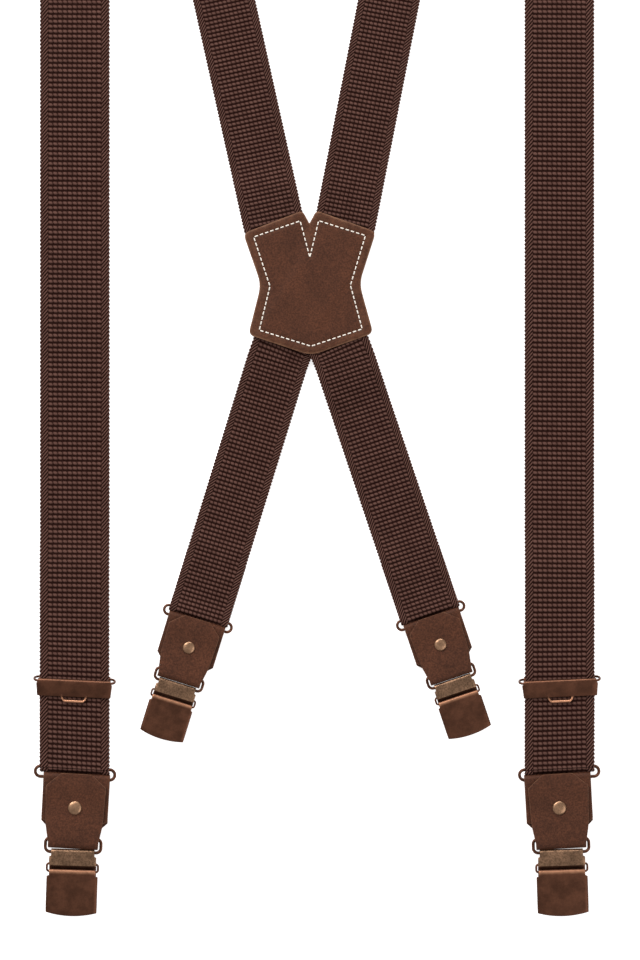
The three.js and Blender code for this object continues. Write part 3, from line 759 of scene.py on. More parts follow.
def strap(name, stations, whole=False):
    """A closed ribbon with its ribs raised, mapped across from -1 to 1 and along in rows."""
    settings = bpy.context.scene.suspender_webbing
    columns, field, relief = settings.columns, settings.field, settings.relief * MM
    rows, places = row_places(stations, settings.row_pitch, whole)
    index = np.clip(np.searchsorted(rows, places, side="right") - 1, 0, len(rows) - 2)
    share = (places - rows[index]) / (rows[index + 1] - rows[index])
    run = np.array([station.along for station in stations])
    span = run[index + 1] - run[index]
    gentle = np.where(span > LONG_SPAN, share * share * (3 - 2 * share), share)

    def between(values, mix=share):
        values = np.array(values, float)
        if values.ndim > 1:
            mix = mix[:, None]
        return values[index] * (1 - mix) + values[index + 1] * mix

    middle = between([s.middle for s in stations])
    middle[:, 2] = between([s.middle.z for s in stations], gentle)
    across = between([s.across for s in stations])
    normal = between([s.normal for s in stations])
    normal /= np.linalg.norm(normal, axis=1)[:, None]
    reach = between([s.reach for s in stations])
    skew = between([s.skew for s in stations])
    depth = between([s.thickness for s in stations])

    count = columns * RIB_STEPS
    ribs = np.arange(0, count + 1) / count * 2 * field - field
    cords = field + (1 - field) * (np.arange(SELVEDGE_STEPS) + 0.7) / SELVEDGE_STEPS
    top = np.concatenate([-cords[::-1], ribs, cords])
    bottom = np.linspace(0.97, -0.97, 8)
    section = np.concatenate([top, [1.0], bottom, [-1.0]])
    face = np.concatenate([np.ones(len(top)), [0.0], -np.ones(len(bottom)), [0.0]])

    a = np.broadcast_to(section, (len(places), len(section)))
    v = places[:, None] + a * (skew * PITCH_WIDTH / 2 / settings.row_pitch)[:, None]
    rib, cord = raised(a, v, columns, field)
    rounded = np.sqrt(np.clip(1 - ((np.abs(a) - 0.9) / 0.1).clip(0) ** 2, 0, 1))
    body = depth[:, None] / 2 * MM * (0.78 * rounded + 0.02)
    lift = np.broadcast_to(face, a.shape) * (body + relief * (rib - 0.55) * (0.3 + 0.7 * rounded))
    scallop = 0.032 * (1 - cord) * ((np.abs(a) - 0.86) / 0.14).clip(0)
    spread = a * reach[:, None] * (1 - scallop)
    points = middle[:, None, :] + across[:, None, :] * spread[..., None]
    points = points * MM + normal[:, None, :] * lift[..., None]

    grid = np.arange(a.size).reshape(a.shape)
    beside = np.roll(grid, -1, 1)
    quads = np.stack([grid[:-1], beside[:-1], beside[1:], grid[1:]], -1).reshape(-1, 4)
    mesh = bpy.data.meshes.new(name)
    faces = [*quads.tolist(), grid[0][::-1].tolist(), grid[-1].tolist()]
    mesh.from_pydata(points.reshape(-1, 3).tolist(), [], faces)
    corner = np.empty(len(mesh.loops), np.int64)
    mesh.loops.foreach_get("vertex_index", corner)
    uv = np.stack([a.ravel(), v.ravel()], 1)[corner]
    mesh.uv_layers.new(name="weave").data.foreach_set("uv", uv.ravel())
    ribbon = bpy.data.objects.new(name, mesh)
    bpy.context.scene.collection.objects.link(ribbon)
    mesh.materials.append(FINISHES["webbing"])
    outward(ribbon)
    smooth(ribbon, 75)
    return ribbon


def raised(a, v, columns, field):
    """Height from 0 to 1 of the ribs and the selvedge cords, and of the cords alone."""
    row = v - np.floor(v)
    column = (a / field + 1) / 2 * columns + RIB_LEAN * (row - 0.5)
    rib_across = np.abs(np.sin((column - np.floor(column)) * np.pi)) ** 0.6
    rib = rib_across * np.abs(np.sin(row * np.pi)) ** 1.25
    cord = np.abs(np.sin((v - a * CORD_SLOPE) * CORDS * np.pi)) ** 1.3
    return np.where(np.abs(a) <= field, rib, 0.15 + 0.85 * cord), cord


def on_table(x, y, z=0.0):
    """A point of the straps' plan, in millimetres of the frame."""
    return Vector((x, y, z)) + Vector((PLAN_ORIGIN.x, PLAN_ORIGIN.y, 0))


def straight(points, place, half, thickness, lean=0.0, lean_below=None):
    """Stations of a strap that runs along the Y of its own place: points of (y, z)."""
    stations = []
    along = points[0][0]
    turn = place.to_3x3()
    for i, (y, z) in enumerate(points):
        before, after = points[max(i - 1, 0)], points[min(i + 1, len(points) - 1)]
        into = Vector((y - before[0], z - before[1]))
        out = Vector((after[0] - y, after[1] - z))
        along += into.length
        if 0 < i < len(points) - 1:
            into, out = into.normalized(), out.normalized()
        way = (into + out).normalized()
        leans = lean_below is not None and y < lean_below
        across = turn @ Vector((1, math.tan(lean) if leans else 0, 0))
        normal = turn @ Vector((0, -way.y, way.x))
        middle = place @ Vector((0, y, z))
        stations.append(Station(middle, across, normal, half, along, 0.0, thickness, half))
    return stations


def loop_round(y, z, radius):
    """Points of (y, z) half way round a wire, from below to above."""
    return [point[:2] for point in arc(y, z, radius, 270, 90, 14, 0)]


def back_point(x, y):
    """A point of the back's own plan, in the straps' plan."""
    c, s = math.cos(PLAN["turn"]), math.sin(PLAN["turn"])
    return Vector((PLAN["back"][0] + x * c - y * s, PLAN["back"][1] + x * s + y * c, 0))


def back_way(angle):
    """A direction from +Y clockwise in the back's own plan."""
    turned = angle - PLAN["turn"]
    return Vector((math.sin(turned), math.cos(turned), 0))


def leg_level(side, thin):
    """Height of a leg's middle under the patch: the right one lies on the left one."""
    return 1.2 + LAYER_GAP + thin / 2 + (thin + LAYER_GAP if side > 0 else 0)


def flat_station(point, way, along, half, thickness):
    across = way.cross(UP).normalized()
    return Station(point, across, UP, half, along, 0.0, thickness, half)


def mitre(corner, way, leaving, face_up, along, half, thickness):
    """Stations round a slanting fold, after which the strap leaves one layer higher."""
    line = (way + leaving).normalized()
    past = (way - line * way.dot(line)).normalized()
    slant = way.dot(line) / way.dot(past)
    radius = (thickness + LAYER_GAP) / 2
    across = line * math.copysign(1, line.dot(way.cross(UP) * face_up))
    skew = way.dot(across) / abs(way.dot(past))
    reach = half / abs(way.dot(past))
    stations = []
    for i in range(13):
        bend = math.pi * i / 12
        middle = corner + line * (slant * radius * bend) + past * (radius * math.sin(bend))
        middle = middle + UP * (radius * (1 - math.cos(bend)))
        normal = UP * (face_up * math.cos(bend)) - past * (face_up * math.sin(bend))
        run = along + radius * bend / way.dot(past)
        stations.append(Station(middle, across, normal, reach, run, skew, thickness, half))
    return stations


def curve(ends, t):
    """The point and the direction of a curve drawn by four points, at a share t of it."""
    a, b, c, d = ends
    u = 1 - t
    point = a * u**3 + b * 3 * t * u**2 + c * 3 * t * t * u + d * t**3
    way = (b - a) * 3 * u**2 + (c - b) * 6 * t * u + (d - c) * 3 * t * t
    return point, way.normalized()


def shoulder_stations(side, settings, scale):
    """From the front's seam, by two turnovers across the shoulder, down under the patch."""
    wide, thick = settings.width / 2, settings.thickness
    half, thin = wide * scale, thick * scale
    x = PLAN["mid"] + side * PLAN["spread"]
    onward, inward = Vector((0, 1, 0)), Vector((-side, 0, 0))
    corner = Vector((x, PLAN["corner"], thick / 2))
    first = mitre(corner, onward, inward, 1, PLAN["corner"], wide, thick)
    crossing, folded = first[-1].middle, first[-1].along
    down = back_way(math.pi + side * PLAN["top_lean"])
    top = back_point(side * PLAN["top"][0], PLAN["top"][1])

    def turned_at(corner):
        run = folded + (corner - crossing).length
        return run, mitre(corner, inward, down, -1, run, half, thick)

    second = top + down * ((crossing.y - top.y) / down.y)
    second.z = crossing.z
    over = turned_at(second)[1]
    # The turnover moves the strap sideways, so its corner moves back until the run meets "top".
    beside = down.cross(UP)
    missed = (over[-1].middle - top).dot(beside)
    second = second - inward * (missed / inward.dot(beside))
    run, over = turned_at(second)

    clear = 2
    before_fold = PLAN["corner"] - wide - clear
    stations = [
        flat_station(Vector((x, y, thick / 2)), onward, y, wide, thick)
        for y in (PLAN["seam"], before_fold)
    ]
    stations += first
    for point, along, width in (
        (crossing + inward * (wide + clear), folded + wide + clear, wide),
        (second - inward * (half + clear), run - half - clear, half),
    ):
        station = flat_station(point, inward, along, width, thick)
        station.across, station.normal = -station.across, -station.normal
        stations.append(station)
    stations += over

    last, base = over[-1].middle, over[-1].along
    level = leg_level(-side, thin)
    reach = (Vector((last.x, last.y, 0)) - top).length
    for distance, z, depth in (
        (half + 3, last.z, thick),
        (2 * half + 12, last.z, thin),
        (2 * half + 40, thin / 2, thin),
        (reach - 32, thin / 2, thin),
        (reach - 15, level, thin),
    ):
        point = last + down * distance
        point.z = z
        stations.append(flat_station(point, down, base + distance, half, depth))

    leg = back_way(math.pi + side * PLAN["leg_lean"])
    leg_top = back_point(-side * PLAN["leg"][0], PLAN["leg"][1])
    pull = (leg_top - top).length / 3
    ends = [top, top + down * pull, leg_top - leg * pull, leg_top]
    before, run = top, base + reach
    for i in range(13):
        point, way = curve(ends, i / 12)
        run += (point - before).length
        before = point
        place = Vector((point.x, point.y, level))
        stations.append(flat_station(place, way, run, half, thin))
    for station in stations:
        station.middle = on_table(*station.middle)
    return stations


def cover(piece, node, body=None):
    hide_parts(node)
    if body:
        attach(piece, body)


def weave(name, node, stations, body=None, whole=False):
    """Weaves a strap in place of a node."""
    piece = strap(name, stations, whole)
    cover(piece, node, body)
    return piece


class SUSPENDERS_OT_front_straps(bpy.types.Operator):
    """Weaves the two front straps and the lengths turned back behind them"""

    bl_idname = "suspenders.front_straps"
    bl_label = "Front straps"

    def execute(self, context):
        settings = context.scene.suspender_webbing
        half, thick = settings.width / 2, settings.thickness
        turn = STRAP_BAR + PLAY + thick / 2
        loop, hump, inner = PLAN["loop"], 4.0, 1.6
        after_adjuster, near_loop = PLAN["adjuster"] + 55, loop + 9
        for name, side in zip(SIDES, (-1, 1)):
            x = PLAN["mid"] + side * PLAN["spread"]
            place = Matrix.Translation(on_table(x, 0))
            lean = math.radians(side * 3.2)
            front = [
                (loop - 0.3, BAR_LEVEL + turn),
                (near_loop, hump),
                (after_adjuster, hump),
                (after_adjuster + 22, thick / 2),
                (PLAN["seam"] - 100, thick / 2),
                (PLAN["seam"], thick / 2),
            ]
            stations = straight(front, place, half, thick, lean, loop + 10)
            for station in stations[:-1]:
                station.skew = 0.015
            piece = weave(f"{name}_front_strap_weave", f"{name}_front_webbing", stations)
            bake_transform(piece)
            returned = [
                (PLAN["adjuster"] - 1.5, inner),
                (near_loop, inner),
                *loop_round(loop - 0.5, BAR_LEVEL, turn),
            ]
            stations = straight(returned, place, half, thick, lean, loop + 10)
            node = f"{name}_front_return_webbing"
            piece = weave(f"{name}_turned_back_weave", node, stations)
            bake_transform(piece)
        return {"FINISHED"}


class SUSPENDERS_OT_back_straps(bpy.types.Operator):
    """Weaves the shoulder lengths that cross under the patch, and the two legs"""

    bl_idname = "suspenders.back_straps"
    bl_label = "Shoulders and legs"

    def execute(self, context):
        settings = context.scene.suspender_webbing
        scale = context.scene.suspender_hardware.back_scale
        half, thin = settings.width / 2 * scale, settings.thickness * scale
        turn = STRAP_BAR * scale + PLAY + thin / 2
        run = (PLAN["leg"][1] - PLAN["leg_loop"]) / math.cos(PLAN["leg_lean"])
        doubled = 1.5 * thin + LAYER_GAP
        for name, side in zip(SIDES, (-1, 1)):
            stations = shoulder_stations(side, settings, scale)
            node = f"{name}_shoulder_webbing"
            weave(f"{name}_shoulder_weave", node, stations, "back", whole=True)
            level = leg_level(side, thin)
            points = [
                (30, thin / 2),
                (9, thin / 2),
                *loop_round(-0.45, BAR_LEVEL * scale, turn),
                (9, doubled),
                (32, doubled),
                (44, thin / 2),
                (run - 26, thin / 2),
                (run - 5, level),
                (run, level),
            ]
            place = pivot(f"{name}_back_strap_ring_swing")
            place.translation = Vector((*place.translation.xy, 0)) / MM
            stations = straight(points, place, half, thin)
            piece = weave(f"{name}_leg_weave", f"{name}_back_webbing", stations, whole=True)
            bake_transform(piece)
        return {"FINISHED"}


# ---- Leather patch ----
OUTLINE = [
    (0, 30.0, 0.8),
    (3.4, 36.6, 2.2),
    (33.2, 25.6, 3.4),
    (24.6, 0, 5.0),
    (31.2, -25.0, 3.2),
    (0, -35.8, 5.0),
]
SEAM = [(0, 13.1), (4.6, 31.4), (27.9, 23.7), (20.1, -1.0), (25.7, -22.9), (0, -31.2)]


def both_halves(points):
    return list(points) + [(-p[0], *p[1:]) for p in points[-2:0:-1]]


def rounded_outline(corners, steps=5):
    """The outline's points with each corner drawn as a short curve."""
    points = []
    for i, (x, y, radius) in enumerate(corners):
        here = Vector((x, y))
        before = Vector(corners[i - 1][:2]) - here
        after = Vector(corners[(i + 1) % len(corners)][:2]) - here
        start = here + before.normalized() * radius
        end = here + after.normalized() * radius
        for k in range(steps + 1):
            t = k / steps
            points.append(start * (1 - t) ** 2 + here * (2 * t * (1 - t)) + end * t * t)
    return points


def distance_to(outline, x, y):
    """Distance in millimetres from points to a closed outline."""
    best = np.full(x.shape, 1e9)
    for a, b in zip(outline, outline[1:] + outline[:1]):
        dx, dy = b[0] - a[0], b[1] - a[1]
        t = np.clip(((x - a[0]) * dx + (y - a[1]) * dy) / max(dx * dx + dy * dy, 1e-9), 0, 1)
        best = np.minimum(best, np.hypot(x - a[0] - t * dx, y - a[1] - t * dy))
    return best


def cut_leather(name, low, high, outline):
    """Cuts a fine sheet of leather to the patch's outline."""
    sheet = primitive(
        bpy.ops.mesh.primitive_grid_add,
        name,
        (70 * MM, 76 * MM, 1),
        x_subdivisions=96,
        y_subdivisions=104,
        size=1,
        location=(0, 0.6 * MM, low * MM),
    )
    draw_up(sheet, high - low)
    outward(sheet)
    cutter = primitive(
        bpy.ops.mesh.primitive_circle_add,
        "cutter",
        vertices=len(outline),
        radius=MM,
        fill_type="NGON",
    )
    for vertex, point in zip(cutter.data.vertices, outline):
        vertex.co = (point.x * MM, point.y * MM, (low - 2) * MM)
    draw_up(cutter, high - low + 4)
    outward(cutter)
    modify(sheet, "BOOLEAN", operation="INTERSECT", object=cutter, solver="EXACT")
    discard([cutter])
    return sheet


def inside(outline, x, y):
    """Whether points lie inside a closed outline."""
    found = np.zeros(x.shape, bool)
    for a, b in zip(outline, outline[1:] + outline[:1]):
        crosses = (a[1] > y) != (b[1] > y)
        rise = b[1] - a[1] if b[1] != a[1] else 1e-9
        found ^= crosses & (x < (b[0] - a[0]) * (y - a[1]) / rise + a[0])
    return found


def strap_hump(x, y):
    """How high the two straps lift the leather, from 0 to 2, over the patch's plan."""
    (top_x, top_y), (leg_x, leg_y) = PLAN["top"], PLAN["leg"]
    height = np.zeros_like(x)
    t = np.clip((top_y - y) / (top_y - leg_y), 0, 1)
    for side in (-1, 1):
        bend = 1.9 * np.sin(2 * np.pi * t) * side
        middle = side * top_x - side * (leg_x + top_x) * t + bend
        height = height + 1 / (1 + np.exp((np.abs(x - middle) - 15.5) / 0.9))
    return height


def sunk(x, y):
    """How far the outer leather sinks beside the straps, in millimetres."""
    return SINK * (1 - np.clip(strap_hump(x, y), 0, 2) / 2)


class SUSPENDERS_OT_patch(bpy.types.Operator):
    """Cuts the crossing patch's two leathers and sews them through the straps"""

    bl_idname = "suspenders.patch"
    bl_label = "Crossing patch"

    def execute(self, context):
        settings = context.scene.suspender_leather
        webbing, hardware = context.scene.suspender_webbing, context.scene.suspender_hardware
        thick = settings.patch_thickness
        level = thick + 3 * LAYER_GAP + 2 * webbing.thickness * hardware.back_scale
        turn = Matrix.Rotation(PLAN["turn"], 4, "Z")
        place = Matrix.Translation(on_table(*PLAN["back"]) * MM) @ turn
        seam = both_halves(SEAM)
        outline = rounded_outline(both_halves(OUTLINE))

        def settle(x, y, z):
            px, py = x / MM, y / MM
            pinch = 0.3 * np.exp(-((distance_to(seam, px, py) / 0.9) ** 2))
            worn = 0.45 * np.exp(-((distance_to(outline, px, py) / 0.55) ** 2))
            upper = z > (level + thick / 2) * MM
            drop = sunk(px, py) + np.where(upper, pinch + worn, 0.4 * pinch)
            wave = 0.08 * np.sin(px * 0.21 + 1.3) * np.sin(py * 0.17)
            return x, y, z - (drop - wave) * MM

        for node, low in (("patch_inner", 0.0), ("patch_outer", level)):
            sheet = cut_leather(f"{node}_leather", low, low + thick, outline)
            if node == "patch_outer":
                shape(sheet, settle)
            smooth(sheet, 50)
            co = np.empty(len(sheet.data.vertices) * 3)
            sheet.data.vertices.foreach_get("co", co)
            x, y, _ = co.reshape(-1, 3).T / MM
            # Lighter band outside the seam and a lighter cut rim, the rim partly its own colour and
            # partly a painted edge highlight.
            border = np.where(inside(seam, x, y), 0.0, 0.26)
            rim = np.clip(1.15 - distance_to(outline, x, y) / 0.9, 0, 1) * 0.8
            store_wear_and_highlight(sheet, np.maximum(rim, border))
            sheet.data.transform(place)
            sheet.data.materials.append(FINISHES["leather"])
            cover(sheet, node, "back")
        self.sew(settings, seam, level + thick, place)
        return {"FINISHED"}

    def sew(self, settings, seam, level, place):
        """Lays one stitch after another along the seam, each at the leather's height."""
        stitch = primitive(
            bpy.ops.mesh.primitive_cylinder_add,
            "stitch",
            vertices=8,
            radius=settings.thread / 2 * MM,
            depth=settings.stitch * MM,
            rotation=(0, math.pi / 2, 0),
        )
        ease(stitch, 0.14, degrees=60)
        stitches = []
        closed = [Vector(p) for p in seam]
        for a, b in zip(closed, closed[1:] + closed[:1]):
            way, run = (b - a).normalized(), (b - a).length
            turn = Matrix.Rotation(math.atan2(way.y, way.x), 4, "Z")
            count = max(1, round(run / settings.stitch_pitch))
            for i in range(count):
                point = (a + way * (run * (i + 0.5) / count)).to_3d()
                point.z = level - float(sunk(np.array([point.x]), np.array([point.y]))[0]) - 0.2
                copy = stitch.copy()
                copy.data = stitch.data.copy()
                copy.data.transform(Matrix.Translation(point * MM) @ turn)
                bpy.context.scene.collection.objects.link(copy)
                stitches.append(copy)
        discard([stitch])
        thread = join(stitches, "patch_stitching")
        thread.data.transform(place)
        smooth(thread, 60)
        thread.data.materials.append(FINISHES["thread"])
        cover(thread, "patch_thread", "back")


# ---- Adjusters ----
class SUSPENDERS_OT_adjusters(bpy.types.Operator):
    """Folds the two adjusters: back plate, wire ring and front lever"""

    bl_idname = "suspenders.adjusters"
    bl_label = "Adjusters"

    def execute(self, context):
        wire, sheet = 1.2, context.scene.suspender_hardware.sheet
        roll = wire / 2 + PLAY + sheet / 2
        back_y, back_z, front_z = 1.9, 1.6, 6.25
        back = draw_sheet(
            "adjuster_back_plate",
            [
                (-8.0, 0.35, 17.4),
                (-7.2, 0.35, 18.0),
                (back_y - 1.4, 0.35, 18.0),
                *arc(back_y, back_z, roll, -90, 90, 10, 17.7),
                (back_y - 2, 2.8, 18.0),
                (-6.0, 2.8, 18.0),
            ],
        )
        thicken(back, sheet, 0.12)
        rise = front_z - back_z
        ring = wire_ring("adjuster_wire", 41.4, math.hypot(back_y, rise), 2.2, wire)
        ring.data.transform(Matrix.Rotation(-math.atan2(rise, back_y), 4, "X"))
        shift(ring, 0, back_y / 2, (front_z + back_z) / 2)
        lever = draw_sheet(
            "adjuster_front_plate",
            [
                *arc(0, 0, roll, -110, 0, 7, 17.9),
                *arc(0, 0, roll, 15, 90, 5, 18.2),
                (-1.0, roll - 0.08, 18.9),
                (-1.8, roll - 0.2, 18.9),
                (-4.5, 0.35, 18.6),
                (-6.9, -0.6, 18.4),
                (-7.35, -0.75, 18.25),
            ],
            across=12,
        )
        thicken(lever, sheet, 0.16)
        pull = wire_ring("pull", 14.1, 3.6, 1.2, 1.3)
        shape(pull, lambda x, y, z: (x * (0.92 + np.clip(y / MM, -2, 1) * 0.06), y, z))
        shift(pull, 0, -7.85, -0.7)
        lever = join([lever, pull], "adjuster_front_plate")

        # Painted highlight: a copper band along the top of the lever's roll, and the pull's lower
        # bar copper, partly its own tone and partly a painted highlight at its ends.
        def rubbed_and_highlit(x, y, z):
            fold = max(0.0, 0.38 - abs(y - 0.7)) if z > 0 else 0.0
            return 0.9 if y < -8.2 else fold

        # Sharp edges take the copper colour: rubbed edges and painted edge highlights.
        mark_wear_and_highlight(back)
        mark_wear_and_highlight(ring)
        mark_wear_and_highlight(lever, rubbed_and_highlit)
        for name in SIDES:
            body = f"{name}_front_adjuster"
            flip = pivot(f"{body}_flip")
            base = flip.copy()
            base.translation.z = 0
            for master, node, place, rides in (
                (back, "back", base, body),
                (ring, "ring", base, body),
                (lever, "lever", flip, f"{body}_lever"),
            ):
                label = f"{name}_{master.name}"
                finish = FINISHES["bronze"]
                set_in_place(master, label, place, f"{body}_{node}", finish, rides)
        discard([back, ring, lever])
        return {"FINISHED"}


# ---- Clip ends ----
def clip_tab(settings):
    """Leather folded round both rings: flap in front, hourglass down, wide layer between."""
    thick = settings.tab_thickness
    upper = STRAP_BAR + PLAY + thick / 2
    lower = 1.3 + thick / 2
    step = thick + PLAY
    middle = step / 3
    flap, front, rear = upper + step, middle + step, middle - step
    fold_y, fold_z = -32.4, 0.4
    profile = [
        (2.4, flap - 0.04, 7.4),
        (2.1, flap - 0.02, 8.0),
        (-3.0, flap - 0.05, 13.9),
        (-4.0, flap - 0.1, 14.8),
        (-5.2, flap - 0.1, 15.0),
        (-10.6, front, 14.75),
        (-18.6, front, 14.5),
        (-24.3, fold_z + lower * 0.985, 14.05),
        (-26.05, fold_z + lower, 13.75),
        (-29.5, fold_z + lower, 13.1),
        *arc(fold_y, fold_z, lower, 90, 270, 12, 12.5),
        (-26.05, fold_z - lower, 12.5),
        (-24.3, rear, 13.9),
        (-21.8, rear, 16.6),
        (-10.6, rear, 16.6),
        *arc(0.2, 0, upper, 270, 450, 12, 16.6),
        (-8.6, middle, 16.6),
        (-20.2, middle, 16.6),
        (-21.0, middle, 16.0),
        (-21.8, middle, 14.9),
    ]
    return thicken(draw_sheet("leather_tab", profile, across=10), thick, 0.5, 3)


def clip_rivet(settings):
    """A domed rivet: washer, shank and head drawn up ring by ring."""
    step = settings.tab_thickness + PLAY
    low, high = step / 3 - step - 0.9, step / 3 + step + 0.9
    last, radius = low - 0.6, 3.2
    rivet = primitive(
        bpy.ops.mesh.primitive_circle_add,
        "rivet",
        vertices=40,
        radius=radius * MM,
        fill_type="NGON",
        location=(0, 0, last * MM),
    )
    open_edit(rivet, everything=True)
    washer = [(low - 0.1, 3.2), (low, 3.05), (low, 1.5), (high, 1.5)]
    head = [(0, 3.3), (0.12, 3.42), (0.3, 3.42), (0.55, 3.25)]
    head += [(0.8, 2.75), (0.97, 2.05), (1.06, 1.2), (1.1, 0.4)]
    for z, wide in washer + [(high + rise, wide) for rise, wide in head]:
        extrude((0, 0, (z - last) * MM))
        widen((wide / radius, wide / radius, 1), (0, 0, z * MM))
        last, radius = z, wide
    close_edit()
    outward(rivet)
    smooth(rivet, 40)
    shift(rivet, 0, -14.6, 0)
    return rivet


def clip_jaw(sheet):
    """The jaw: bridge plate rolled over the ring, back plate and two ears."""
    roll = STRAP_BAR + PLAY + sheet / 2
    profile = [
        (-6.65, roll - 0.05, 11.5),
        (-6.3, roll, 11.8),
        (-2.4, roll, 11.8),
        (-1.8, roll, 10.8),
        *arc(0, 0, roll, 90, -90, 14, 10.8),
        (-2.0, -roll - 0.1, 10.8),
        (-5.5, PLATE_LEVEL, 11.8),
        (-26.9, PLATE_LEVEL, 11.8),
        (-29.0, PLATE_LEVEL, 11.5),
        (-30.2, PLATE_LEVEL, 10.4),
        (-30.9, PLATE_LEVEL, 8.0),
    ]
    parts = [thicken(draw_sheet("jaw", profile, across=12), sheet, 0.14)]
    bail_y, eye_z, half = -5.8, 0.2, sheet / 2
    for side in (-1, 1):
        x = side * (11 + half)
        low, high = (x - half, bail_y - 1.3, PLATE_LEVEL), (x + half, bail_y + 1.3, eye_z)
        parts += [block("ear", low, high, 0.12), rod("eye", 1.3, sheet, x, bail_y, eye_z)]
    jaw = join(parts, "jaw")
    smooth(jaw, 40)
    for polygon in jaw.data.polygons:
        place = polygon.center / MM
        bridge = place.z > -0.4 and abs(place.x) < 10.95
        polygon.material_index = int(bridge or place.z > 0.9)
    return jaw


def clip_pad():
    """The ridged rubber grip on the back plate."""
    base, half = PLATE_LEVEL + 0.37, 10.6
    ridge, groove = base + 1.0, base + 0.67
    profile = [(-20.5, ridge, half)]
    for i in reversed(range(8)):
        y = -29.3 + 1.1 * i
        profile += [(y + 0.7, ridge, half), (y + 0.35, groove, half), (y, ridge, half)]
    profile.append((-29.6, ridge, half))
    pad = draw_sheet("grip_pad", profile, across=4)
    draw_up(pad, -0.6)
    under, flat = (base + 0.5) * MM, (base + 0.01) * MM
    shape(pad, lambda x, y, z: (x, y, np.where(z < under, flat, z)))
    outward(pad)
    smooth(pad, 30)
    return pad


def clip_lever(sheet):
    """The lever: rolled round the bail, turned down at its sides, curved at its end."""
    roll = 0.55 + PLAY + sheet / 2
    half = 12.75
    profile = [
        *arc(0, 0, roll, -100, 90, 12, 11.6),
        (-1.9, roll, 11.6),
        (-2.4, roll - 0.05, half),
        (-6.0, roll + 0.12, half),
        (-13.0, roll + 0.2, half),
        (-18.0, roll + 0.1, half),
        (-20.4, roll - 0.05, 12.7),
    ]
    plate = draw_sheet("lever", profile, across=26)

    def bow(x, y, z):
        along, bulge = -y / MM, 1 - (x / MM / half) ** 2
        sag = 1.75 * bulge * np.clip((along - 14.0) / 6.4, 0, 1) ** 2
        crown = 0.22 * bulge * np.clip((along - 3) / 4, 0, 1)
        turned = 0.5 * np.clip((np.abs(x) / MM - 11.5) / 1.25, 0, 1) ** 2
        return x, y - sag * MM, z + (crown - turned) * MM

    shape(plate, bow)
    parts = [thicken(plate, sheet, 0.2)]
    for x in (-12.42, 12.42):
        low, high = (x - 0.28, -20.2, roll - 1.5), (x + 0.28, -4.0, roll - 0.4)
        parts.append(block("flange", low, high, 0.12))
    lever = join(parts, "lever")
    smooth(lever, 40)
    return lever


def hanging_ring(name, width, pitch, corner, wire):
    """A ring whose upper bar lies on its pivot."""
    ring = wire_ring(name, width, pitch, corner, wire)
    shift(ring, 0, -pitch / 2, 0)
    return ring


class SUSPENDERS_OT_clips(bpy.types.Operator):
    """Makes one clip end and sets a copy at each of the four strap ends"""

    bl_idname = "suspenders.clips"
    bl_label = "Clip ends"

    def execute(self, context):
        hardware, leather = context.scene.suspender_hardware, context.scene.suspender_leather
        wire = hardware.ring_wire
        strap_ring = hanging_ring("upper_ring", 41.4, 5.2, 2.6, wire)
        clip_ring = hanging_ring("lower_ring", 29.4, 6.9, 2.4, wire)
        bail = hanging_ring("bail_wire", 26.7, 3.9, 1.2, 1.1)
        tab, rivet, pad = clip_tab(leather), clip_rivet(leather), clip_pad()
        jaw, lever = clip_jaw(hardware.jaw_sheet), clip_lever(hardware.sheet)
        # Sharp edges of the metal pieces take the copper colour: rubbed edges and painted edge
        # highlights.
        for master in (strap_ring, clip_ring, bail, rivet, pad, jaw):
            mark_wear_and_highlight(master)
        # The tab's cut edges lighter: their own colour together with a painted edge highlight.
        mark_wear_and_highlight(tab, gain=14.0)
        # Painted highlight: a copper band along the top of the lever's roll.
        mark_wear_and_highlight(lever, lambda x, y, z: max(0.0, 0.72 - abs(y - 0.2) / 1.3) if z > 0 else 0.0)
        finishes = {
            "dark_metal": FINISHES["bronze"],
            "leather": FINISHES["leather"],
            "light_metal": FINISHES["rivet"],
            "grip": FINISHES["rubber"],
        }
        fits = (
            (strap_ring, "strap_ring", "strap_ring", "swing", "dark_metal"),
            (tab, "tab", "tab", "swing", "leather"),
            (rivet, "rivet", "tab", "swing", "light_metal"),
            (clip_ring, "clip_ring", "clip_ring", "swing", "dark_metal"),
            (jaw, "jaw", "jaw", "swing", "dark_metal"),
            (pad, "jaw_pad", "jaw", "swing", "grip"),
            (bail, "bail", "bail", "swing", "dark_metal"),
            (lever, "lever", "lever", "flip", "dark_metal"),
        )
        for end in ("left_front", "right_front", "left_back", "right_back"):
            size = Matrix.Scale(hardware.back_scale if end.endswith("back") else 1.0, 4)
            for master, node, body, motion, slot in fits:
                place = pivot(f"{end}_{body}_{motion}") @ size
                label = f"{end}_{master.name}_piece"
                finish = finishes[slot]
                if master is jaw:
                    finish = [finish, FINISHES["brass"]]
                set_in_place(master, label, place, f"{end}_{node}", finish, f"{end}_{body}")
        discard([fit[0] for fit in fits])
        return {"FINISHED"}


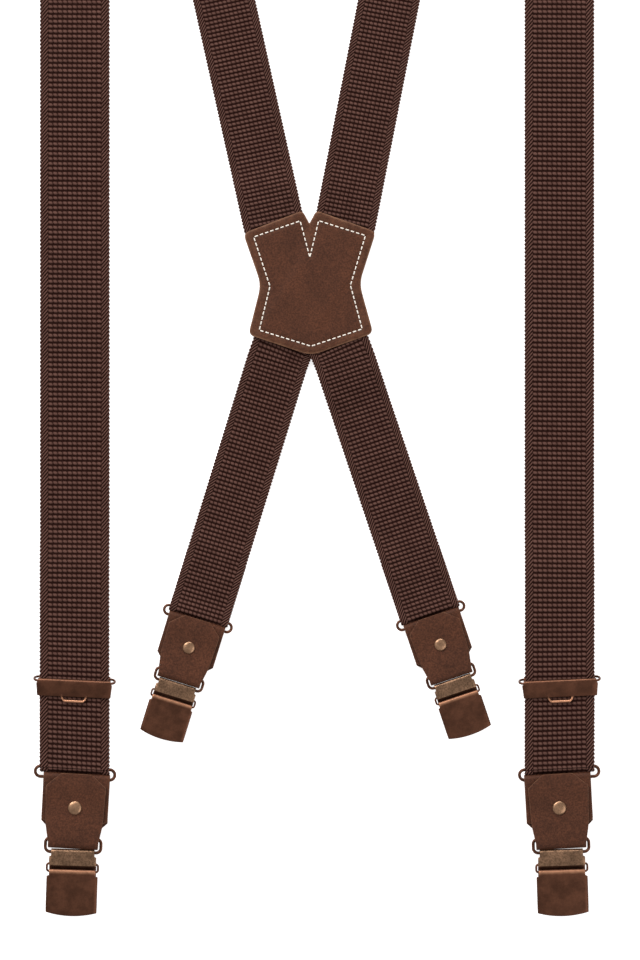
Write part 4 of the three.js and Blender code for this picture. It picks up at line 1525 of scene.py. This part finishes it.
# ---- Stage ----
class SUSPENDERS_OT_stage(bpy.types.Operator):
    """Sets the table, the soft light and the camera above the pair"""

    bl_idname = "suspenders.stage"
    bl_label = "Stage"

    def execute(self, context):
        scene = context.scene
        plane_add = bpy.ops.mesh.primitive_plane_add
        table = primitive(plane_add, "table", size=6, location=(0, 0, -0.6 * MM))
        material = begin_material(
            "Table",
            Base_Color=rgba(scene.suspender_finish.floor),
            Roughness=0.9,
            Emission_Color=(1, 1, 1, 1),
            Emission_Strength=0.75,
        )[0]
        table.data.materials.append(material)
        for name, place, size, power in (
            ("key light", (-1.3, 1.5, 1.7), 1.3, 52),
            ("fill light", (1.4, -0.9, 1.5), 1.6, 15),
            ("edge light", (0.2, 2.2, 0.9), 1.2, 26),
        ):
            drop_selection()
            bpy.ops.object.light_add(type="AREA", location=place)
            light = context.object
            light.name = name
            light.data.size = size
            light.data.energy = power
            light.rotation_euler = (-Vector(place)).to_track_quat("-Z", "Y").to_euler()
        world = bpy.data.worlds.new("Studio")
        world.use_nodes = True
        background = world.node_tree.nodes["Background"].inputs
        background["Color"].default_value = (1, 1, 1, 1)
        background["Strength"].default_value = 0.4
        scene.world = world
        scene.view_settings.view_transform = "Standard"
        drop_selection()
        centre, distance = on_table(0, 0) * MM, 2.6667
        bpy.ops.object.camera_add(location=(centre.x, centre.y, distance + 0.002))
        camera = context.object
        camera.data.lens = 200.0
        camera.data.sensor_width = 36.0
        camera.data.clip_end = 20.0
        scene.camera = camera
        return {"FINISHED"}


class SUSPENDERS_PT_panel(bpy.types.Panel):
    """Lists the pieces in the order in which they are made"""

    bl_idname = "SUSPENDERS_PT_panel"
    bl_label = "Suspenders"
    bl_space_type = "VIEW_3D"
    bl_region_type = "UI"
    bl_category = "Suspenders"

    def draw(self, context):
        for operator in OPERATORS:
            self.layout.operator(operator.bl_idname)
        for group in GROUPS:
            settings = getattr(context.scene, group)
            for name in settings.__annotations__:
                self.layout.prop(settings, name)


OPERATORS = (
    SUSPENDERS_OT_front_straps,
    SUSPENDERS_OT_back_straps,
    SUSPENDERS_OT_patch,
    SUSPENDERS_OT_adjusters,
    SUSPENDERS_OT_clips,
    SUSPENDERS_OT_stage,
)
GROUPS = {
    "suspender_webbing": WebbingSettings,
    "suspender_leather": LeatherSettings,
    "suspender_hardware": HardwareSettings,
    "suspender_finish": FinishSettings,
}


def register():
    for kind in (*GROUPS.values(), *OPERATORS, SUSPENDERS_PT_panel):
        bpy.utils.register_class(kind)
    for name, kind in GROUPS.items():
        setattr(bpy.types.Scene, name, bpy.props.PointerProperty(type=kind))


def unregister():
    for name in GROUPS:
        delattr(bpy.types.Scene, name)
    for kind in reversed((*GROUPS.values(), *OPERATORS, SUSPENDERS_PT_panel)):
        bpy.utils.unregister_class(kind)


def main():
    register()
    make_finishes()
    for operator in OPERATORS:
        group, name = operator.bl_idname.split(".")
        getattr(getattr(bpy.ops, group), name)()


if __name__ == "__main__":
    main()
